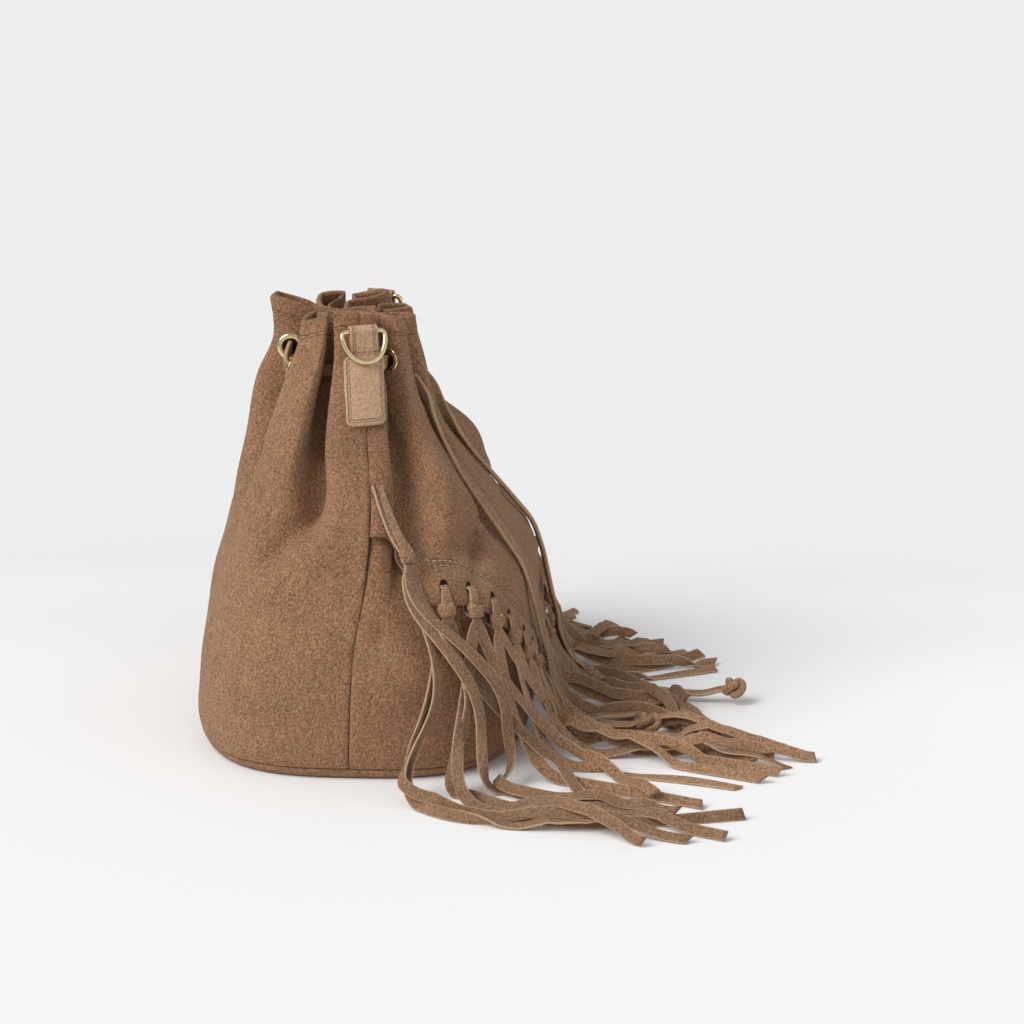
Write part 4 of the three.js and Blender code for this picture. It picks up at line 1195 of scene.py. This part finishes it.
def wall_piece(name, ends, edges, lift, columns, rows, seats):
    """A panel from its low edge to its top edge: the closed section carried round the bag, with its seam
    ends drawn in a little. Its marks say how far each point is from the rim, the hole row and the eyelets."""
    seam_room = 0.0005
    u = np.linspace(ends[0] + seam_room, ends[1] - seam_room, columns)
    t = np.abs(np.mod(u + 1, 2) - 1)
    leather = sizes().suede_thick / MM
    rim, low, top = rim_at(u), edges[0](u), edges[1](u)

    def thick(z):
        """Thickness at a height: the leather, and the turned hem below the rim."""
        return leather + HEM_EXTRA * ease((z - rim + HEM_DEPTH) / 1.5)

    z, deep = section_rows(low, top, thick, rows)
    wide_u, wide_t = np.broadcast_to(u, z.shape), np.broadcast_to(t, z.shape)
    at, along, _, out, speed = shell_frame(wide_u, z)
    from_seam = np.abs(wide_t - 0.5) * speed
    groove = -0.8 * np.exp(-(from_seam / 1.3) ** 2) - foot_round(z)
    hem = 0.3 * ease((z - rim + HEM_DEPTH) / 1.2) - 0.3 * np.exp(-((z - rim + HEM_DEPTH) / 1.1) ** 2)
    raised = lift(wide_t, z) + ripple(wide_u, z) + groove + hem - creased(wide_t, z)
    hand = np.where(np.mod(wide_u + 1, 2) < 1, -1.0, 1.0)
    points = at + out * (raised - deep)[..., None] + along * (hand * leaning(wide_t, z))[..., None]
    pitch = np.broadcast_to(np.gradient(arc_length(u, hole_height(t)), u) * HOLE_PITCH, z.shape)
    marks = {
        "run_low": np.broadcast_to(arc_length(u, hole_height(t) + 10), z.shape),
        "run_rim": np.broadcast_to(arc_length(u, rim - 8), z.shape),
        "below_rim": rim - z + 100 * (deep > 0.2),
        "above_holes": z - flap_line(wide_t) + 100 * (deep > 0.2),
        "hole_run": wide_u / HOLE_PITCH, "hole_pitch": pitch,
    }
    marks["from_eyelet"] = np.full(z.shape, 50.0)
    for seat in seats:
        away = points - seat["middle"]
        deep = away @ seat["axis"]
        flat = np.linalg.norm(away - deep[..., None] * seat["axis"], axis=-1)
        marks["from_eyelet"] = np.minimum(marks["from_eyelet"], flat + 10 * (np.abs(deep) > 5))
    return Piece(name).surface(points, True, False, marks)


def set_axes(made, right, up, back, place):
    """Turns an object to three axes and moves it to a place."""
    turned = np.eye(4)
    turned[:3] = np.stack([right, up, back, place], -1)
    made.matrix_world = Matrix(turned.tolist())


class BAG_OT_camera(bpy.types.Operator):
    """Camera at the photograph's angle"""

    bl_idname = "bag.camera"
    bl_label = "Camera"

    def execute(self, context):
        azimuth, elevation, away = math.radians(CAMERA_AZIMUTH), math.radians(CAMERA_ELEVATION), CAMERA_AWAY
        level = math.cos(elevation)
        back = np.array([math.sin(azimuth) * level, -math.cos(azimuth) * level, math.sin(elevation)])
        right = np.array([math.cos(azimuth), math.sin(azimuth), 0])
        up = np.cross(back, right)
        aside = (ORIGIN_PIXEL[0] - PICTURE_MIDDLE) / FOCAL_PIXELS * away
        above = (PICTURE_MIDDLE - ORIGIN_PIXEL[1]) / FOCAL_PIXELS * away
        place = away * back - aside * right - above * up
        camera = bpy.data.cameras.new("view")
        camera.lens = CAMERA_LENS
        camera.sensor_width = CAMERA_SENSOR
        camera.clip_start = 0.05
        camera.clip_end = 50
        made = bpy.data.objects.new("view", camera)
        context.scene.collection.objects.link(made)
        set_axes(made, right, up, back, place)
        context.scene.camera = made
        return {"FINISHED"}


class BAG_OT_drawcord(bpy.types.Operator):
    """The drawcord: its run round the mouth, its two free ends and their knots"""

    bl_idname = "bag.drawcord"
    bl_label = "Drawcord"

    def execute(self, context):
        seats = eyelet_seats()
        width, thick = sizes().cord_width / MM, sizes().cord_thick / MM
        run = smooth_route(mouth_route(seats), MOUTH_RUN_POINTS)
        piece = Piece("drawcord_run")
        on_edge = ribbon(run, cord_sides(run, math.inf), CORD_SQUEEZED, thick)
        piece.surface(on_edge, marks=strap_marks(run, len(run)))
        piece.make(finish("cord_nap"), "lace_suede", ["drawcord_mouth_run"])
        for hand, name, floor in ((-1, "left", LEFT_FLOOR), (1, "right", RIGHT_FLOOR)):
            seat = next(seat for seat in seats if seat["hand"] == hand and seat["gather"] == 0)
            route = end_route(seat, floor)
            ahead = unit((route[-1] - route[-2]) * [1, 1, 0])
            centre = route[-1] + ahead * (KNOT_RADIUS + GAP)
            centre[2] = KNOT_HEIGHT
            into_knot = mix(route[-1], centre, 0.6)
            path = smooth_route(np.vstack([route, into_knot]), CORD_END_POINTS)
            piece = Piece(f"drawcord_{name}_end")
            hanging = ribbon(path, cord_sides(path, CORD_TURN_STEPS), width, thick)
            piece.surface(hanging, marks=strap_marks(path, len(path)))
            cord = piece.make(finish("cord_nap"), "lace_suede", [f"drawcord_end_{name}"])
            lump = Piece(f"drawcord_{name}_lump")
            rings = knot_surface(centre, KNOT_RADIUS, KNOT_LUMP_HEIGHT)
            lump.surface(rings, True, True, {"edge": np.zeros(rings.shape[:2])})
            knot = lump.make(finish("lace_nap"), "lace_suede", [f"drawcord_knot_{name}"])
        return {"FINISHED"}


class BAG_OT_fringe(bpy.types.Operator):
    """The fringe: a knotted lace in each hole of the flap and one at each side seam"""

    bl_idname = "bag.fringe"
    bl_label = "Fringe"

    def execute(self, context):
        pile = Pile()
        last = HOLES_EACH_SIDE + 1
        for k in sorted(range(-last, last + 1), key=abs):
            lace_piece(k, pile)
        return {"FINISHED"}


class BAG_OT_panels(bpy.types.Operator):
    """The three suede panels, with hem, flap stitching and lacing holes, the holes' and eyelets' openings in
    painted shade
    """

    bl_idname = "bag.panels"
    bl_label = "Panels"

    def execute(self, context):
        seats = eyelet_seats()
        foot = BASE_HEIGHT + 0.2
        front = [seat for seat in seats if seat["t"] < 0.5]
        back = [seat for seat in seats if seat["t"] > 0.5]
        names = [made.name for made in bpy.data.objects]
        names = [name for name in names if name.startswith("fringe_lace_") and name.endswith("_suede")]
        upper = wall_piece(
            "front_flap", (-0.5, 0.5), (lambda u: edge_height(np.abs(u)), rim_at), flare, *FLAP_GRID, front)
        upper = upper.make(finish("flap_nap"), "suede", ["front_upper_panel"])
        lower = wall_piece(
            "front_wall", (-0.5, 0.5), (lambda u: foot + 0 * u, lambda u: edge_height(np.abs(u)) + LAP),
            lambda t, z: -sunk(t, z), *WALL_GRID, [])
        lower = lower.make(finish("wall_nap"), "suede", ["front_lower_panel"])
        rear = wall_piece(
            "back_wall", (0.5, 1.5), (lambda u: foot + 0 * u, rim_at), lambda t, z: 0 * z, *BACK_GRID, back)
        rear = rear.make(finish("panel_nap"), "suede", ["back_panel"])
        return {"FINISHED"}


class BAG_OT_base(bpy.types.Operator):
    """The base: a shallow tray with a rounded edge, which the walls stand on"""

    bl_idname = "bag.base"
    bl_label = "Base"

    def execute(self, context):
        inset = np.array([40, 12, 3, 1.9, 0.95, 0.28, 0.02, 0.0, 0.0, 0.25, 0.8, 1.6, 2.2, 2.3, 12, 40])
        height = np.array([0, 0, 0, 0.2, 0.7, 1.5, 2.4, 3.2, 4.9, 5.5, 5.9, 6.0, 5.6, 3.0, 3.0, 3.0])
        angle = np.linspace(0, 2 * np.pi, 240, endpoint=False)[None]
        sin, cos = np.sin(angle), np.cos(angle)
        n = squareness(0)
        inset = inset + foot_round(height)
        deep = (rear_reach(0) + front_reach(0)) / 2 - inset[:, None]
        wide = half_width(0) - inset[:, None]
        radius = ((np.abs(sin) / wide) ** n + (np.abs(cos) / deep) ** n) ** (-1 / n)
        middle = (rear_reach(0) - front_reach(0)) / 2
        z = np.broadcast_to(height[:, None], radius.shape)
        points = np.stack([radius * sin, middle - radius * cos, z], -1)
        Piece("base_tray").surface(points).make(finish("base_nap"), "suede", ["base_panel"])
        return {"FINISHED"}


def bar_seat(hand):
    """Where the ring's bar lies: held off the leather by its loop of strap, with the line it hangs along."""
    point, along, up, _, _ = shell_frame(np.float64(hand * 0.5), np.float64(BAR_HEIGHT))
    along = unit(along * [1, 1, 0])
    out = unit(np.cross(along, up))
    up = np.cross(out, along)
    wire, strap = sizes().ring_wire / MM, sizes().tab_thick / MM
    at = point + out * (TAB_LIFT + strap + GAP + wire / 2 + STRAP_ROOM)
    rest_lift = TAB_LIFT + strap + 2 * GAP + wire / 2
    rest = off_shell(np.float64(hand * 0.5), np.float64(BAR_HEIGHT - 0.9 * RING_REACH), rest_lift)
    hang = at - rest
    hang = unit(hang - along * (hang @ along))
    return at, along, out, up, hang


def tab_strap(hand):
    """A ring tab's middle surface, from its foot up over the ring's bar and down behind it, with each row's
    distance from the foot, each row's half width, and each column's share of the width."""
    strap, wire = sizes().tab_thick / MM, sizes().ring_wire / MM
    at, along, out, up, _ = bar_seat(hand)
    foot = [TAB_FOOT, TAB_FOOT + 0.25, TAB_FOOT + 0.8]
    z = np.concatenate([foot, np.linspace(TAB_FOOT + 1.6, TAB_SHOULDER, 40)])
    rounded = np.clip(TAB_CORNER - (z - TAB_FOOT), 0, TAB_CORNER)
    width = TAB_WIDTH - 2 * (TAB_CORNER - np.sqrt(TAB_CORNER ** 2 - rounded ** 2))
    width = width - (TAB_WIDTH - TAB_NECK) * ease((z - TAB_SHOULDER + 4) / 4)
    border = np.array([0.46, 0.485, 0.5])
    across = np.concatenate([-border[::-1], np.linspace(-0.43, 0.43, 15), border])
    _, _, _, _, speed = shell_frame(np.float64(hand * 0.5), z)
    shift = across[None] * width[:, None]
    lift = np.full(shift.shape, TAB_LIFT + strap / 2)
    flat = off_shell(hand * 0.5 + shift / speed[:, None], z[:, None], lift)
    middle = off_shell(np.float64(hand * 0.5) + 0 * z, z, TAB_LIFT + strap / 2 + 0 * z)
    straight = middle[:, None] + along * shift[..., None]
    flat = mix(flat, straight, ease((z - TAB_SHOULDER + 6) / 6)[:, None, None])
    turn_by = np.radians(np.linspace(-48, 180, 12))
    reach = wire / 2 + STRAP_ROOM + strap / 2
    loop = at + out * (np.cos(turn_by) * reach)[:, None] + up * (np.sin(turn_by) * reach)[:, None]
    tail = [at - out * reach - up * 4, at - out * (reach + 0.2) - up * 7]
    bent = smooth_route(np.vstack([middle[-1], loop, *tail]), 60)[1:]
    bent = bent[:, None] + along * (across * TAB_NECK)[None, :, None]
    run = np.concatenate([z - TAB_FOOT, TAB_SHOULDER - TAB_FOOT + np.linspace(1, 24, len(bent))])
    half = np.concatenate([width, np.full(len(bent), TAB_NECK)]) / 2
    return np.concatenate([flat, bent]), run, half, across


class BAG_OT_tabs(bpy.types.Operator):
    """The two ring tabs: a strap sewn down over each side seam and folded over the ring's bar"""

    bl_idname = "bag.tabs"
    bl_label = "Ring tabs"

    def execute(self, context):
        for hand, name in ((-1, "left"), (1, "right")):
            grid, run, half, across = tab_strap(hand)
            points = thick_sheet(grid, sizes().tab_thick / MM)
            place = across[None] * 2 * half[:, None]
            edge = np.minimum(half[:, None] - np.abs(place), run[:, None])
            marks = {
                "tab_edge": edge, "tab_run": np.where(run[:, None] < 3, place, run[:, None] + 0 * place),
                "tab_bar": run[:, None] - (TAB_SHOULDER - TAB_FOOT - 1.2) + 0 * place, "tab_across": place,
            }
            both = {key: np.concatenate([value, value[:, ::-1]], axis=1) for key, value in marks.items()}
            piece = Piece(f"ring_strap_{name}").surface(points, marks=both)
            piece.make(finish("tab_nap"), "tab_suede", [f"ring_tab_{name}"])
        return {"FINISHED"}


class BAG_OT_rings(bpy.types.Operator):
    """The two D rings: a straight bar and a bow hanging below it, of round wire"""

    bl_idname = "bag.rings"
    bl_label = "D rings"

    def execute(self, context):
        wire = sizes().ring_wire / MM
        for hand, name in ((-1, "left"), (1, "right")):
            at, along, _, _, up = bar_seat(hand)
            half = (RING_INNER + wire) / 2
            corner = np.linspace(np.pi / 2, 0, 9)
            bow = np.linspace(0, np.pi, 73)[1:-1]
            bar = np.linspace(RING_CORNER - half, half - RING_CORNER, 24)[1:-1]
            inward, down = RING_CORNER * (1 - np.cos(corner)), RING_CORNER * (np.sin(corner) - 1)
            flat = np.concatenate([
                np.stack([bar, 0 * bar], -1),
                np.stack([half - inward, down], -1),
                np.stack([half * np.cos(bow), -RING_CORNER - (RING_REACH - RING_CORNER) * np.sin(bow)], -1),
                np.stack([inward - half, down], -1)[::-1],
            ])
            path = at + along * flat[:, :1] + up * flat[:, 1:]
            out = np.cross(along, up)
            side = np.cross(loop_forward(path), out)
            angle = np.linspace(0, 2 * np.pi, 24, endpoint=False)
            ring = side[:, None] * np.cos(angle)[None, :, None] + out * np.sin(angle)[None, :, None]
            piece = Piece(f"gold_ring_{name}").surface(path[:, None] + ring * wire / 2, True, True)
            piece.make(finish("polished_gold"), "gold", [f"d_ring_{name}"], body=f"ring_{name}")
        return {"FINISHED"}


class BAG_OT_eyelets(bpy.types.Operator):
    """The ten eyelets: a barrel through the leather with a rolled flange on each face"""

    bl_idname = "bag.eyelets"
    bl_label = "Eyelets"

    def execute(self, context):
        flange = sizes().eyelet_flange / MM
        reach = 1.95
        profile = np.array([
            (EYELET_HOLE, -1.2), (EYELET_HOLE + 0.25, -1.75), (EYELET_HOLE + 0.9, -reach - 0.1),
            (flange - 0.9, -reach), (flange - 0.2, -1.7), (flange, -1.4), (flange - 0.2, -1.2),
            (EYELET_HOLE + 0.7, -1.15), (EYELET_HOLE + 0.6, 0), (EYELET_HOLE + 0.7, 1.15),
            (flange - 0.2, 1.2), (flange, 1.4), (flange - 0.2, 1.7), (flange - 0.9, reach),
            (EYELET_HOLE + 0.9, reach + 0.1), (EYELET_HOLE + 0.25, 1.75), (EYELET_HOLE, 1.2),
        ])
        angle = np.linspace(0, 2 * np.pi, 48, endpoint=False)
        count = {-1: 0, 1: 0}
        for seat in eyelet_seats():
            hand, axis = seat["hand"], seat["axis"]
            count[hand] += 1
            name = f"{'left' if hand < 0 else 'right'}_{count[hand]}"
            across = unit(np.cross(axis, [0, 0, 1.0]))
            up = np.cross(axis, across)
            spoke = across * np.cos(angle)[:, None] + up * np.sin(angle)[:, None]
            points = seat["middle"] + spoke[:, None] * profile[None, :, :1] + axis * profile[None, :, 1:]
            piece = Piece(f"gold_eyelet_{name}").surface(points, True, True)
            piece.make(finish("polished_gold"), "gold", [f"eyelet_{name}"])
        return {"FINISHED"}


class BAG_OT_stage(bpy.types.Operator):
    """Pale floor, even studio light and the plain look of the picture"""

    bl_idname = "bag.stage"
    bl_label = "Stage"

    def execute(self, context):
        scene = context.scene
        material, start = start_material("pale_floor")
        place = start.node("ShaderNodeTexCoord", None, None, "Object")
        depth = start.node("ShaderNodeSeparateXYZ", None, {"Vector": place})
        # Painted shade: the plain floor goes darker behind the bag and again farther back.
        far = depth.between(0.03, 0.16)
        face = blend_colours(start, far, FLOOR_NEAR, FLOOR_BEHIND)
        face = blend_colours(start, depth.between(0.2, 0.26), face, FLOOR_FAR)
        shader = start.node("ShaderNodeBsdfPrincipled", None, {
            "Base Color": face, "Roughness": 0.9, "Specular IOR Level": 0.1})
        finish_material(start, shader)
        corners = np.array([(-1, -1, 0), (1, -1, 0), (1, 1, 0), (-1, 1, 0)]) * [FLOOR_HALF, FLOOR_HALF, 0]
        mesh = bpy.data.meshes.new("floor")
        mesh.from_pydata(corners.tolist(), [], [(0, 1, 2, 3)])
        mesh.materials.append(material)
        floor = bpy.data.objects.new("floor", mesh)
        scene.collection.objects.link(floor)
        for name, place, strength, soft in SUNS:
            lamp = bpy.data.lights.new(name, "SUN")
            lamp.energy = strength
            lamp.angle = math.radians(soft)
            made = bpy.data.objects.new(name, lamp)
            scene.collection.objects.link(made)
            back = unit(np.array(place))
            side = unit(np.cross([0, 0, 1.0], back))
            set_axes(made, side, np.cross(back, side), back, place)
        world = bpy.data.worlds.new("studio")
        world.use_nodes = True
        world.node_tree.nodes.clear()
        start = Value(world.node_tree)
        seen = start.node("ShaderNodeLightPath", None, None, "Is Camera Ray")
        strength = SKY_STRENGTH + seen * (1 - SKY_STRENGTH)
        shade = blend_colours(start, seen, SKY_COLOUR, SKY_SEEN)
        light = start.node("ShaderNodeBackground", None, {"Color": shade, "Strength": strength})
        start.node("ShaderNodeOutputWorld", None, {"Surface": light})
        scene.world = world
        scene.view_settings.view_transform = "Standard"
        return {"FINISHED"}


STEPS = (
    BAG_OT_camera, BAG_OT_drawcord, BAG_OT_fringe, BAG_OT_base, BAG_OT_panels,
    BAG_OT_tabs, BAG_OT_rings, BAG_OT_eyelets, BAG_OT_stage,
)


class BAG_PT_panel(bpy.types.Panel):
    """Lists the bag's pieces, sizes and colours"""

    bl_idname = "BAG_PT_panel"
    bl_label = "Fringed suede bag"
    bl_space_type = "VIEW_3D"
    bl_region_type = "UI"
    bl_category = "Bag"

    def draw(self, context):
        for group in (context.scene.bag_sizes, context.scene.bag_colours):
            for name in group.__annotations__:
                self.layout.prop(group, name)
        for step in STEPS:
            self.layout.operator(step.bl_idname)


CLASSES = (BagSizes, BagColours, *STEPS, BAG_PT_panel)


def register():
    """Adds the bag's operators, sizes and colours to Blender."""
    for kind in CLASSES:
        bpy.utils.register_class(kind)
    bpy.types.Scene.bag_sizes = bpy.props.PointerProperty(type=BagSizes)
    bpy.types.Scene.bag_colours = bpy.props.PointerProperty(type=BagColours)


def unregister():
    """Takes the bag's operators, sizes and colours out again."""
    del bpy.types.Scene.bag_colours
    del bpy.types.Scene.bag_sizes
    for kind in reversed(CLASSES):
        bpy.utils.unregister_class(kind)


def main():
    """Runs every step on the frame."""
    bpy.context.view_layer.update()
    register()
    for step in STEPS:
        group, name = step.bl_idname.split(".")
        getattr(getattr(bpy.ops, group), name)()


if __name__ == "__main__":
    main()
